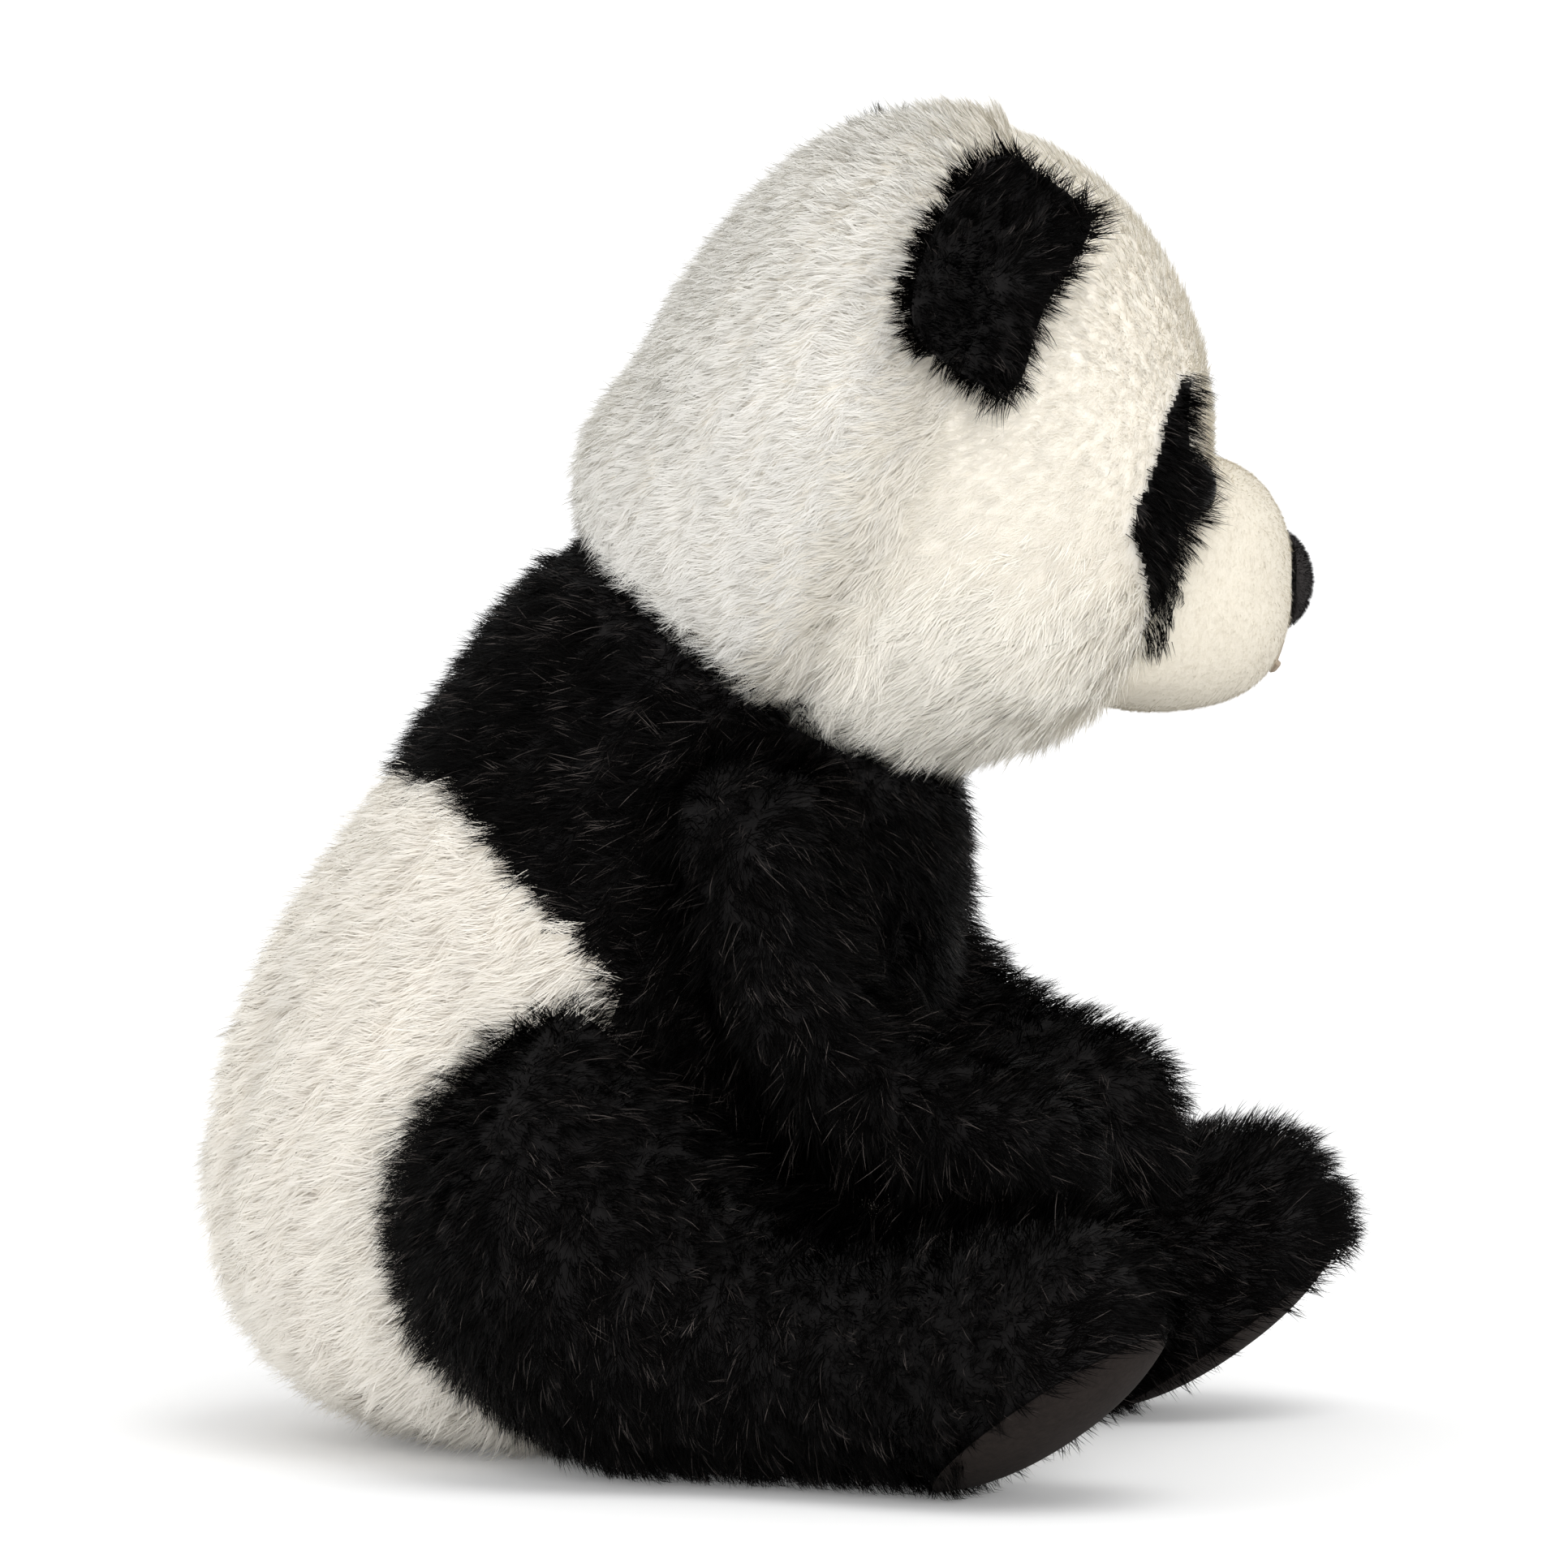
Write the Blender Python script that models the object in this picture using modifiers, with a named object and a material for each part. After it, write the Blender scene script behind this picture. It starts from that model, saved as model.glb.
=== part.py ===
"""Seated plush panda, about 30 cm tall, as the sewn and stuffed pieces that it is made of.

Metres, +Z up. The panda faces -Y, its left side is +X, and it sits on z = 0.
A pile panel is as thick as its backing cloth and its fur together.
"""

import math

import bmesh
import bpy
import numpy as np
from mathutils import Matrix, Vector

# Clearance and thickness of the sewn panels
GAP = 0.0003
BODY_PILE = 0.007
HEAD_PILE = 0.007
LIMB_PILE = 0.006
MUZZLE_PILE = 0.0035
PATCH_PILE = 0.002

# Body: rows of height, centre forward of the origin, half width, half depth
TORSO_LOW = -0.004
TORSO_HIGH = 0.218
TORSO = (
    (0.0087, -0.040, 0.052, 0.054),
    (0.024, -0.040, 0.063, 0.070),
    (0.062, -0.041, 0.070, 0.0775),
    (0.110, -0.0275, 0.066, 0.076),
    (0.150, -0.0125, 0.058, 0.063),
    (0.175, -0.006, 0.050, 0.052),
    (0.197, 0.003, 0.042, 0.041),
)
SEAT_SEAM = 0.010
SIDE_SEAM = -0.005
YOKE_EDGE = (
    (-0.130, 0.149),
    (-0.052, 0.146),
    (-0.013, 0.110),
    (0.004, 0.076),
    (0.020, 0.058),
    (0.031, 0.066),
    (0.041, 0.084),
    (0.080, 0.084),
)
POUCH_LOW = 0.004
POUCH_HIGH = 0.038
POUCH = ((0.016, -0.038, 0.034, 0.036), (0.027, -0.038, 0.032, 0.034))

# Head: a ball that sits in the cup at the top of the body
HEAD_FORWARD = 0.038
HEAD_HEIGHT = 0.221
HEAD_HALF_WIDTH = 0.0765
HEAD_HALF_DEPTH = 0.0675
HEAD_HALF_HEIGHT = 0.0715
HEAD_YAW = math.radians(22)
CHEEK_PUFF = 0.007
CHEEK_TOWARDS = (0.66, -0.42, -0.62)
CHEEK_SPREAD = math.radians(30)
CROWN_FLAT = 0.0115
CROWN_TOWARDS = (0, 0.77, 0.63)
CROWN_SPREAD = math.radians(38)
NECK_TILT = math.radians(32)
NECK_BALL = 0.075
NECK_CLEARANCE = 0.0011
NECK_SPREAD = math.radians(48)
NECK_FADE = math.radians(28)
NECK_HOLE = 0.030
SEAM_RADIUS = 0.0345
THREAD_RADIUS = 0.0011
THREAD_CLEARANCE = 0.0008
FACE_SEAM_BACK = 0.0055
FACE_SEAM_LEAN = math.radians(22)

# Muzzle: rows of distance forward of the head's centre, height, half width, half height
MUZZLE_LOW = 0.005
MUZZLE_HIGH = 0.0835
MUZZLE_SQUARENESS = 2.8
MUZZLE = (
    (0.040, -0.033, 0.043, 0.028),
    (0.066, -0.033, 0.039, 0.0275),
    (0.077, -0.033, 0.028, 0.0205),
)
NOSE_FORWARD = 0.079
NOSE_HEIGHT = -0.0335
NOSE_HALF_WIDTH = 0.0150
NOSE_HALF_HEIGHT = 0.0112
NOSE_HALF_DEPTH = 0.0085
MOUTH_HALF_WIDTH = 0.009
MOUTH_DROP = 0.0055
MOUTH_HEIGHT = -0.047
STITCH_RADIUS = 0.0008

# Eyes
PATCH_SIDE = math.radians(41)
PATCH_DROP = math.radians(15)
PATCH_HALF_WIDTH = 0.0145
PATCH_HALF_HEIGHT = 0.030
PATCH_SLANT = math.radians(14)
EYE_SIDE = math.radians(36)
EYE_DROP = math.radians(9)
EYE_RADIUS = 0.006
EYE_RISE = 0.0042
EYE_SINK = 0.0025
SHANK_RADIUS = 0.002
WASHER_RADIUS = 0.007
WASHER_THICKNESS = 0.0015
WASHER_SETBACK = 0.0019

# Ears, by where the base sits on the head and which way the ear faces
EAR_OUTWARD = (0.88, -0.21, 0.39)
EAR_FRONT = (0.66, -0.75, 0.06)
EAR_HALF_WIDTH = 0.0250
EAR_HALF_HEIGHT = 0.0160
EAR_CENTRE = 0.0170
EAR_RAISED = -0.0005
EAR_SEAT = 0.0100
EAR_HALF_THICKNESS = 0.0055
EAR_SQUARENESS = 3.5
EAR_LEAN = 0.30
EAR_TWIST = 0.0045
EAR_CUP = 0.005
EAR_PIVOT = 0.0004
EAR_FOLD = math.radians(25)

# Arms: rows of distance from the shoulder, centre, half width, half depth
SHOULDER_SIDE = 0.050
SHOULDER_FORWARD = 0.015
SHOULDER_HEIGHT = 0.136
PAW_SIDE = 0.040
PAW_FORWARD = 0.079
PAW_HEIGHT = 0.067
ARM_LOW = -0.024
ARM_HIGH = 0.111
ARM = (
    (0.000, 0.000, 0.0225, 0.024),
    (0.042, -0.0165, 0.020, 0.0175),
    (0.088, -0.003, 0.0215, 0.020),
)
ARM_RAISE = math.radians(35)

# Legs: rows of distance from the hip, height above the hip, half width, half height
HIP_SIDE = 0.050
HIP_FORWARD = -0.013
HIP_HEIGHT = 0.052
HINGE_SIDE = 0.062
HINGE_FORWARD = -0.056
LEG_SPLAY = math.radians(18)
LEG_LOW = -0.056
LEG_HIGH = 0.137
LEG = (
    (0.000, 0.0025, 0.056, 0.055),
    (0.046, -0.0250, 0.034, 0.0275),
    (0.080, -0.0215, 0.030, 0.0310),
    (0.105, -0.0185, 0.029, 0.0320),
    (0.124, -0.0130, 0.024, 0.0250),
)
LEG_SWING = math.radians(25)
SOLE_START = 0.079
SOLE_TILT = math.radians(35)
SOLE_HALF_LENGTH = 0.031
SOLE_HALF_WIDTH = 0.022
SOLE_CROWN = 0.006
SOLE_MIDDLE = 0.033

# Sides of the round forms
BODY_SEGMENTS = 22
BODY_RINGS = 13
LIMB_SEGMENTS = 14
LIMB_RINGS = 11
SMALL_SEGMENTS = 12
SMALL_RINGS = 8
CUP_SEGMENTS = 28
CUP_RINGS = 18
SWEEP_STEPS = 4
CUTTER_REACH = 0.5

FORWARD = Vector((0, -1, 0))
DOWN = Vector((0, 0, -1))
HEAD_CENTRE = Vector((0, -HEAD_FORWARD, HEAD_HEIGHT))
HEAD_TURNED = Matrix.Rotation(HEAD_YAW, 4, "Z")
NECK_AXIS = Vector((0, math.sin(NECK_TILT), -math.cos(NECK_TILT)))
WASHER_DEPTH = HEAD_PILE + WASHER_SETBACK - EYE_SINK


def clear_scene():
    for item in list(bpy.data.objects):
        bpy.data.objects.remove(item)


def new_collection(name):
    collection = bpy.data.collections.new(name)
    bpy.context.scene.collection.children.link(collection)
    return collection


def new_material(name, colour, roughness, metallic=0.0):
    material = bpy.data.materials.new(name)
    material.use_nodes = True
    shader = material.node_tree.nodes["Principled BSDF"]
    shader.inputs["Base Color"].default_value = (*colour, 1)
    shader.inputs["Roughness"].default_value = roughness
    shader.inputs["Metallic"].default_value = metallic
    return material


clear_scene()
PARTS = new_collection("plush_panda")
CUTTERS = new_collection("plush_panda_cutters")
WHITE_PILE = new_material("white_pile", (0.80, 0.75, 0.67), 0.95)
BLACK_PILE = new_material("black_pile", (0.009, 0.008, 0.008), 0.9)
SHORT_PILE = new_material("short_pile", (0.90, 0.84, 0.72), 0.95)
NOSE_PILE = new_material("nose_pile", (0.022, 0.019, 0.018), 0.9)
SUEDE = new_material("suede", (0.013, 0.011, 0.011), 0.85)
EYE_PLASTIC = new_material("eye_plastic", (0.006, 0.005, 0.005), 0.12)
WASHER_PLASTIC = new_material("washer_plastic", (0.75, 0.75, 0.73), 0.4)
THREAD = new_material("thread", (0.012, 0.011, 0.011), 0.8)
FIBRE = new_material("fibre", (0.86, 0.86, 0.85), 1.0)
POUCH_CLOTH = new_material("pouch_cloth", (0.62, 0.60, 0.56), 0.9)


def add_object(name, mesh, parent=None, material=None, collection=None):
    item = bpy.data.objects.new(name, mesh)
    (collection or PARTS).objects.link(item)
    item.parent = parent
    if material:
        mesh.materials.append(material)
    return item


def add_piece(name, mesh, material, parent=None):
    mesh = mesh.copy()
    mesh.shade_smooth()
    return add_object(name, mesh, parent, material)


def add_cutter(name, mesh, parent=None, placed=None):
    cutter = add_object(name, mesh, parent, collection=CUTTERS)
    cutter.hide_render = True
    cutter.display_type = "WIRE"
    if placed is not None:
        cutter.matrix_basis = placed
    return cutter


def cut(piece, cutter, operation="DIFFERENCE"):
    modifier = piece.modifiers.new(f"{operation.lower()}_{cutter.name}", "BOOLEAN")
    modifier.operation = operation
    modifier.solver = "EXACT"
    modifier.object = cutter


def add_frame(name, origin, axis_z, axis_y, parent=None):
    """An empty whose Z and Y axes point as given, in its parent's space."""
    axis_z = axis_z.normalized()
    axis_x = axis_y.cross(axis_z).normalized()
    turn = Matrix((axis_x, axis_z.cross(axis_x), axis_z)).transposed().to_4x4()
    frame = bpy.data.objects.new(name, None)
    PARTS.objects.link(frame)
    frame.parent = parent
    frame.matrix_basis = Matrix.Translation(origin) @ turn
    return frame


def smooth_value(positions, values, at):
    """The value at a position on a smooth curve through the rows, level beyond their ends."""
    if at <= positions[0] or len(positions) == 1:
        return values[0]
    if at >= positions[-1]:
        return values[-1]
    slopes = np.gradient(values, positions)
    row = int(np.searchsorted(positions, at)) - 1
    step = positions[row + 1] - positions[row]
    t = (at - positions[row]) / step
    start = (1 + 2 * t) * (1 - t) ** 2 * values[row] + t * (1 - t) ** 2 * step * slopes[row]
    end = t * t * (3 - 2 * t) * values[row + 1] - t * t * (1 - t) * step * slopes[row + 1]
    return start + end


class Loft:
    """A stuffed form along local Z, with round ends and an oval section at each row."""

    def __init__(self, rows, low, high, floor=None, squareness=2.0):
        table = np.array(rows, dtype=float)
        self.low = low
        self.high = high
        self.floor = floor
        self.squareness = squareness
        self.positions = table[:, 0]
        self.centres = table[:, 1]
        roundness = [self.roundness(position) for position in self.positions]
        self.widths = table[:, 2] / roundness
        self.depths = table[:, 3] / roundness

    def roundness(self, position):
        share = (position - self.low) / (self.high - self.low)
        return 2 * math.sqrt(max(share * (1 - share), 0.0))

    def squared(self, across, through):
        """How far a section of this squareness reaches past an oval one, in a direction."""
        power = self.squareness
        reach = (abs(across) ** power + abs(through) ** power) ** (1 / power)
        return math.hypot(across, through) / reach if reach else 1.0

    def section(self, position):
        """Centre, half width and half depth at a position, without the round ends."""
        rows = (self.centres, self.widths, self.depths)
        return [smooth_value(self.positions, row, position) for row in rows]

    def mesh(self, name, segments, rings, inset=0.0):
        form = bmesh.new()
        bmesh.ops.create_uvsphere(form, u_segments=segments, v_segments=rings, radius=1.0)
        for vertex in form.verts:
            position = self.low + (self.high - self.low) * (vertex.co.z + 1) / 2
            centre, width, depth = self.section(position)
            square = self.squared(vertex.co.x, vertex.co.y)
            vertex.co.x *= width * square
            vertex.co.y = depth * square * vertex.co.y - centre
            vertex.co.z = position
            self.flatten(vertex.co)
        return finished(form, name, inset)

    def flatten(self, point):
        """The torso and its pouch sit flat on their floor."""
        if self.floor is not None:
            point.z = max(point.z, self.floor)


class LyingLoft(Loft):
    """A limb whose local Y points down, flat where it lies on its floor."""

    def flatten(self, point):
        if self.floor is not None:
            point.y = min(point.y, self.floor)


def finished(form, name, inset=0.0):
    """The form as a mesh, its skin moved in, and split alike so that nested forms stay apart."""
    form.normal_update()
    for vertex in form.verts:
        vertex.co -= vertex.normal * inset
    bmesh.ops.triangulate(form, faces=form.faces[:], quad_method="FIXED")
    mesh = bpy.data.meshes.new(name)
    form.to_mesh(mesh)
    form.free()
    return mesh


def ball_mesh(name, radius, segments=SMALL_SEGMENTS, rings=SMALL_RINGS, scale=(1, 1, 1)):
    form = bmesh.new()
    bmesh.ops.create_uvsphere(form, u_segments=segments, v_segments=rings, radius=radius)
    bmesh.ops.scale(form, vec=scale, verts=form.verts)
    return finished(form, name)


def cylinder_mesh(name, radius, low, high, segments=SMALL_SEGMENTS, scale=(1, 1, 1)):
    form = bmesh.new()
    bmesh.ops.create_cone(
        form,
        cap_ends=True,
        segments=segments,
        radius1=radius,
        radius2=radius,
        depth=high - low,
        matrix=Matrix.Translation((0, 0, (low + high) / 2)),
    )
    bmesh.ops.scale(form, vec=scale, verts=form.verts)
    return finished(form, name)


def half_space(name, origin, normal, parent=None):
    """A large box that fills the side of a plane that the normal points to."""
    form = bmesh.new()
    middle = Matrix.Translation((0, 0, CUTTER_REACH / 2))
    bmesh.ops.create_cube(form, size=CUTTER_REACH, matrix=middle)
    turn = normal.to_track_quat("Z", "Y").to_matrix().to_4x4()
    return add_cutter(name, finished(form, name), parent, Matrix.Translation(origin) @ turn)


def turned(name, profile, material, parent):
    """A profile of radius and height, from the top down its outer side, turned about local Z."""
    form = bmesh.new()
    points = [form.verts.new((radius, 0, height)) for radius, height in profile]
    for start, end in zip(points, points[1:]):
        form.edges.new((start, end))
    piece = add_object(name, finished(form, name), parent, material)
    screw = piece.modifiers.new("turned", "SCREW")
    screw.steps = SMALL_SEGMENTS
    screw.render_steps = SMALL_SEGMENTS
    screw.use_merge_vertices = True
    screw.merge_threshold = 0.00001
    return piece


def extruded_side(name, outline):
    """A closed outline of forward and height points, extruded sideways through the body."""
    curve = bpy.data.curves.new(name, "CURVE")
    curve.dimensions = "2D"
    curve.fill_mode = "BOTH"
    curve.extrude = CUTTER_REACH / 2
    spline = curve.splines.new("POLY")
    spline.points.add(len(outline) - 1)
    for point, (forward, height) in zip(spline.points, outline):
        point.co = (-forward, height, 0, 1)
    spline.use_cyclic_u = True
    upright = Matrix(((0, 0, 1, 0), (1, 0, 0, 0), (0, 1, 0, 0), (0, 0, 0, 1)))
    return add_cutter(name, meshed(curve), None, upright)


def torso(name, inset=0.0):
    return Loft(TORSO, TORSO_LOW, TORSO_HIGH, 0.0).mesh(name, BODY_SEGMENTS, BODY_RINGS, inset)


def neck_angle(direction):
    """Angle between a direction in the head's own frame and the neck."""
    axis = (HEAD_TURNED.inverted() @ NECK_AXIS.to_4d()).to_3d()
    return direction.angle(axis)


def head_radius(direction):
    """Distance from the head's centre to its fur along a direction in the head's own frame."""
    ratios = (
        direction.x / HEAD_HALF_WIDTH,
        direction.y / HEAD_HALF_DEPTH,
        direction.z / HEAD_HALF_HEIGHT,
    )
    radius = 1 / Vector(ratios).length
    crown = direction.angle(Vector(CROWN_TOWARDS))
    radius -= CROWN_FLAT * math.exp(-((crown / CROWN_SPREAD) ** 2))
    for side in (-1, 1):
        cheek = direction.angle(Matrix.Diagonal((side, 1, 1)) @ Vector(CHEEK_TOWARDS))
        radius += CHEEK_PUFF * math.exp(-((cheek / CHEEK_SPREAD) ** 2))
    fade = (neck_angle(direction) - NECK_SPREAD) / NECK_FADE
    fade = min(max(fade, 0.0), 1.0)
    fade = fade * fade * (3 - 2 * fade)
    return NECK_BALL + (radius - NECK_BALL) * fade


def head_normal(direction):
    """The way out of the head's skin where it crosses a direction."""
    aside = direction.orthogonal().normalized() / 50
    above = direction.cross(aside)
    middle = direction * head_radius(direction)
    spans = []
    for step in (aside, above):
        near = (direction + step).normalized()
        spans.append(near * head_radius(near) - middle)
    return spans[0].cross(spans[1]).normalized()


def head(name, inset=0.0):
    form = bmesh.new()
    bmesh.ops.create_uvsphere(
        form, u_segments=BODY_SEGMENTS, v_segments=BODY_RINGS, radius=1.0
    )
    for vertex in form.verts:
        direction = vertex.co.normalized()
        vertex.co = direction * head_radius(direction)
    return finished(form, name, inset)


def muzzle_loft():
    return Loft(MUZZLE, MUZZLE_LOW, MUZZLE_HIGH, squareness=MUZZLE_SQUARENESS)


def muzzle_form(name, inset=0.0):
    loft = muzzle_loft()
    return loft.mesh(name, BODY_SEGMENTS, LIMB_RINGS, inset)


def muzzle_front(side, height):
    """How far forward of the head's centre the muzzle's surface lies at a side and a height."""
    loft = muzzle_loft()
    inside, outside = MUZZLE[0][0], MUZZLE_HIGH
    for _ in range(30):
        middle = (inside + outside) / 2
        centre, width, depth = loft.section(middle)
        across, through = side / width, (height - centre) / depth
        reach = math.hypot(across, through) / loft.squared(across, through)
        if reach < loft.roundness(middle):
            inside = middle
        else:
            outside = middle
    return inside


def facing(side_angle, drop_angle, side):
    """A direction in the head's own frame, turned to one side of the nose and down."""
    flat = math.cos(drop_angle)
    across = side * math.sin(side_angle) * flat
    return Vector((across, -math.cos(side_angle) * flat, -math.sin(drop_angle)))


def make_body(head_frame):
    shell_cavity = add_cutter("cut_body_cavity", torso("cavity", BODY_PILE))
    cup = ball_mesh("neck_cup", NECK_BALL + NECK_CLEARANCE, CUP_SEGMENTS, CUP_RINGS)
    cup = add_cutter("cut_neck_cup", cup, head_frame)
    groove = neck_ring_mesh("groove", THREAD_RADIUS + THREAD_CLEARANCE)
    groove = add_cutter("cut_neck_groove", groove)
    half = GAP / 2
    edge = list(YOKE_EDGE)
    corners = [(edge[-1][0], CUTTER_REACH), (edge[0][0], CUTTER_REACH)]
    yoke_side = extruded_side("cut_yoke", [(f, z + half) for f, z in edge] + corners)
    below_yoke = extruded_side("cut_below_yoke", [(f, z - half) for f, z in edge] + corners)
    seat_line = Vector((0, 0, SEAT_SEAM))
    side_line = FORWARD * SIDE_SEAM
    nudge_up = Vector((0, 0, half))
    nudge_forward = FORWARD * half
    nudge_left = Vector((half, 0, 0))
    right = Vector((-1, 0, 0))
    low_side = half_space("cut_seat", seat_line - nudge_up, DOWN)
    high_side = half_space("cut_above_seat", seat_line + nudge_up, -DOWN)
    front_side = half_space("cut_belly", side_line + nudge_forward, FORWARD)
    rear_side = half_space("cut_back", side_line - nudge_forward, -FORWARD)
    right_side = half_space("cut_back_right", -nudge_left, right)
    left_side = half_space("cut_back_left", nudge_left, -right)
    outer = torso("body")
    panels = {
        "body_yoke": (BLACK_PILE, None, [yoke_side]),
        "body_back_right": (WHITE_PILE, below_yoke, [high_side, rear_side, right_side]),
        "body_back_left": (WHITE_PILE, below_yoke, [high_side, rear_side, left_side]),
        "body_belly": (WHITE_PILE, below_yoke, [high_side, front_side]),
        "body_seat": (WHITE_PILE, None, [low_side]),
    }
    for name, (material, removed, kept) in panels.items():
        panel = add_piece(name, outer, material)
        for side in kept:
            cut(panel, side, "INTERSECT")
        if removed:
            cut(panel, removed)
        cut(panel, shell_cavity)
        if name != "body_seat":
            cut(panel, cup)
    inner = BODY_PILE + GAP
    stuffing = add_piece("body_stuffing", torso("stuffing", inner), FIBRE)
    cut(stuffing, cup)
    cut(stuffing, groove)
    pouch = Loft(POUCH, POUCH_LOW, POUCH_HIGH, inner)
    add_piece("pellet_pouch", pouch.mesh("pouch", LIMB_SEGMENTS, SMALL_RINGS), POUCH_CLOTH)
    room = pouch.mesh("pouch_room", LIMB_SEGMENTS, SMALL_RINGS, -GAP)
    cut(stuffing, add_cutter("cut_pouch", room))


def neck_ring_mesh(name, tube_radius):
    """The ring of stitching, about the neck, that rests against the ball of the head."""
    centre_line = NECK_BALL + GAP + THREAD_RADIUS
    middle = HEAD_CENTRE + NECK_AXIS * math.sqrt(centre_line**2 - SEAM_RADIUS**2)
    turn = NECK_AXIS.to_track_quat("Z", "Y").to_matrix().to_4x4()
    bpy.ops.mesh.primitive_torus_add(
        major_radius=SEAM_RADIUS,
        minor_radius=tube_radius,
        major_segments=BODY_SEGMENTS,
        minor_segments=6,
    )
    ring = bpy.context.object
    mesh = ring.data
    bpy.data.objects.remove(ring)
    mesh.name = name
    mesh.transform(Matrix.Translation(middle) @ turn)
    return mesh


def make_neck(neck_frame):
    mesh = neck_ring_mesh("neck_seam", THREAD_RADIUS)
    mesh.transform(neck_frame.matrix_basis.inverted())
    add_piece("neck_seam", mesh, THREAD, neck_frame)


def make_head(head_frame):
    cavity = add_cutter("cut_head_cavity", head("head_cavity", HEAD_PILE), head_frame)
    in_head = HEAD_TURNED.inverted().to_3x3()
    neck_axis = in_head @ NECK_AXIS
    down_neck = neck_axis.to_track_quat("Z", "Y").to_matrix().to_4x4()
    hole = cylinder_mesh("neck_hole", NECK_HOLE, 0, CUTTER_REACH / 2, BODY_SEGMENTS)
    neck_hole = add_cutter("cut_neck_hole", hole, head_frame, down_neck)
    half = GAP / 2
    seam_point = -FORWARD * FACE_SEAM_BACK
    seam_normal = FORWARD * math.cos(FACE_SEAM_LEAN) + DOWN * math.sin(FACE_SEAM_LEAN)
    nudge = seam_normal * half
    front = half_space("cut_face", seam_point + nudge, seam_normal, head_frame)
    rear = half_space("cut_head_back", seam_point - nudge, -seam_normal, head_frame)
    outer = head("head")
    for side, side_name in ((-1, "right"), (1, "left")):
        away = Vector((side, 0, 0))
        own_side = half_space(f"cut_head_{side_name}", away * half, away, head_frame)
        hole = add_cutter(
            f"cut_shank_{side_name}",
            cylinder_mesh("shank_hole", SHANK_RADIUS + GAP, -2 * WASHER_DEPTH, PATCH_PILE),
            head_frame,
            eye_placed(side),
        )
        pocket = add_cutter(
            f"cut_eye_{side_name}",
            cylinder_mesh("eye_pocket", EYE_RADIUS + GAP, -GAP, EYE_RISE + PATCH_PILE),
            head_frame,
            eye_placed(side),
        )
        face = add_piece(f"face_{side_name}", outer, WHITE_PILE, head_frame)
        for kept in (front, own_side):
            cut(face, kept, "INTERSECT")
        back = add_piece(f"head_back_{side_name}", outer, WHITE_PILE, head_frame)
        for kept in (rear, own_side):
            cut(back, kept, "INTERSECT")
        for panel in (face, back):
            cut(panel, cavity)
            cut(panel, neck_hole)
        cut(face, hole)
        cut(face, pocket)
        make_eye(side, side_name, head_frame, pocket)
    stuffing = add_piece("head_stuffing", head("head_fill", HEAD_PILE + GAP), FIBRE, head_frame)
    for side, side_name in ((-1, "right"), (1, "left")):
        depth = WASHER_DEPTH + WASHER_THICKNESS * 2 + GAP
        pocket = cylinder_mesh("washer_pocket", WASHER_RADIUS + GAP, -depth, 0)
        placed = eye_placed(side)
        cut(stuffing, add_cutter(f"cut_washer_{side_name}", pocket, head_frame, placed))


def eye_placed(side):
    """Where an eye's flat side is, pressed into the face, with local Z out of it."""
    outward = facing(EYE_SIDE, EYE_DROP, side)
    normal = head_normal(outward)
    turn = normal.to_track_quat("Z", "Y").to_matrix().to_4x4()
    return Matrix.Translation(outward * head_radius(outward) + normal * -EYE_SINK) @ turn


def make_eye(side, side_name, head_frame, eye_pocket):
    outward = facing(PATCH_SIDE, PATCH_DROP, side)
    turn = outward.to_track_quat("Z", "Y").to_matrix().to_4x4()
    turn = turn @ Matrix.Rotation(-side * PATCH_SLANT, 4, "Z")
    oval = cylinder_mesh(
        "patch_oval",
        PATCH_HALF_HEIGHT,
        NECK_BALL / 3,
        NECK_BALL * 2,
        BODY_SEGMENTS,
        (PATCH_HALF_WIDTH / PATCH_HALF_HEIGHT, 1, 1),
    )
    oval = add_cutter(f"cut_patch_{side_name}", oval, head_frame, turn)
    under = add_cutter(f"cut_under_patch_{side_name}", head("under_patch", -GAP), head_frame)
    patch = add_piece(f"eye_patch_{side_name}", head("patch", -PATCH_PILE), BLACK_PILE, head_frame)
    cut(patch, oval, "INTERSECT")
    cut(patch, under)
    cut(patch, eye_pocket)
    room = muzzle_form("muzzle_room", -GAP)
    cut(patch, add_cutter(f"cut_muzzle_{side_name}", room, head_frame, muzzle_placed()))
    frame = bpy.data.objects.new(f"eye_{side_name}_frame", None)
    PARTS.objects.link(frame)
    frame.parent = head_frame
    frame.matrix_basis = eye_placed(side)
    end = -WASHER_DEPTH - 2 * WASHER_THICKNESS
    quarter = [math.radians(angle) for angle in range(90, -1, -15)]
    dome = [(EYE_RADIUS * math.cos(a), EYE_RISE * math.sin(a)) for a in quarter]
    dome[0] = (0, EYE_RISE)
    shank = [(SHANK_RADIUS, 0), (SHANK_RADIUS, end), (0, end)]
    turned(f"eye_{side_name}", dome + shank, EYE_PLASTIC, frame)
    bore = SHANK_RADIUS + GAP
    top, low = -WASHER_DEPTH, -WASHER_DEPTH - WASHER_THICKNESS
    ring = [(bore, top), (WASHER_RADIUS, top), (WASHER_RADIUS, low), (bore, low), (bore, top)]
    turned(f"eye_washer_{side_name}", ring, WASHER_PLASTIC, frame)


def muzzle_placed():
    """The muzzle's own Z points forward from the head's centre and its Y points down."""
    axis_x = DOWN.cross(FORWARD)
    return Matrix((axis_x, DOWN, FORWARD)).transposed().to_4x4()


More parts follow.
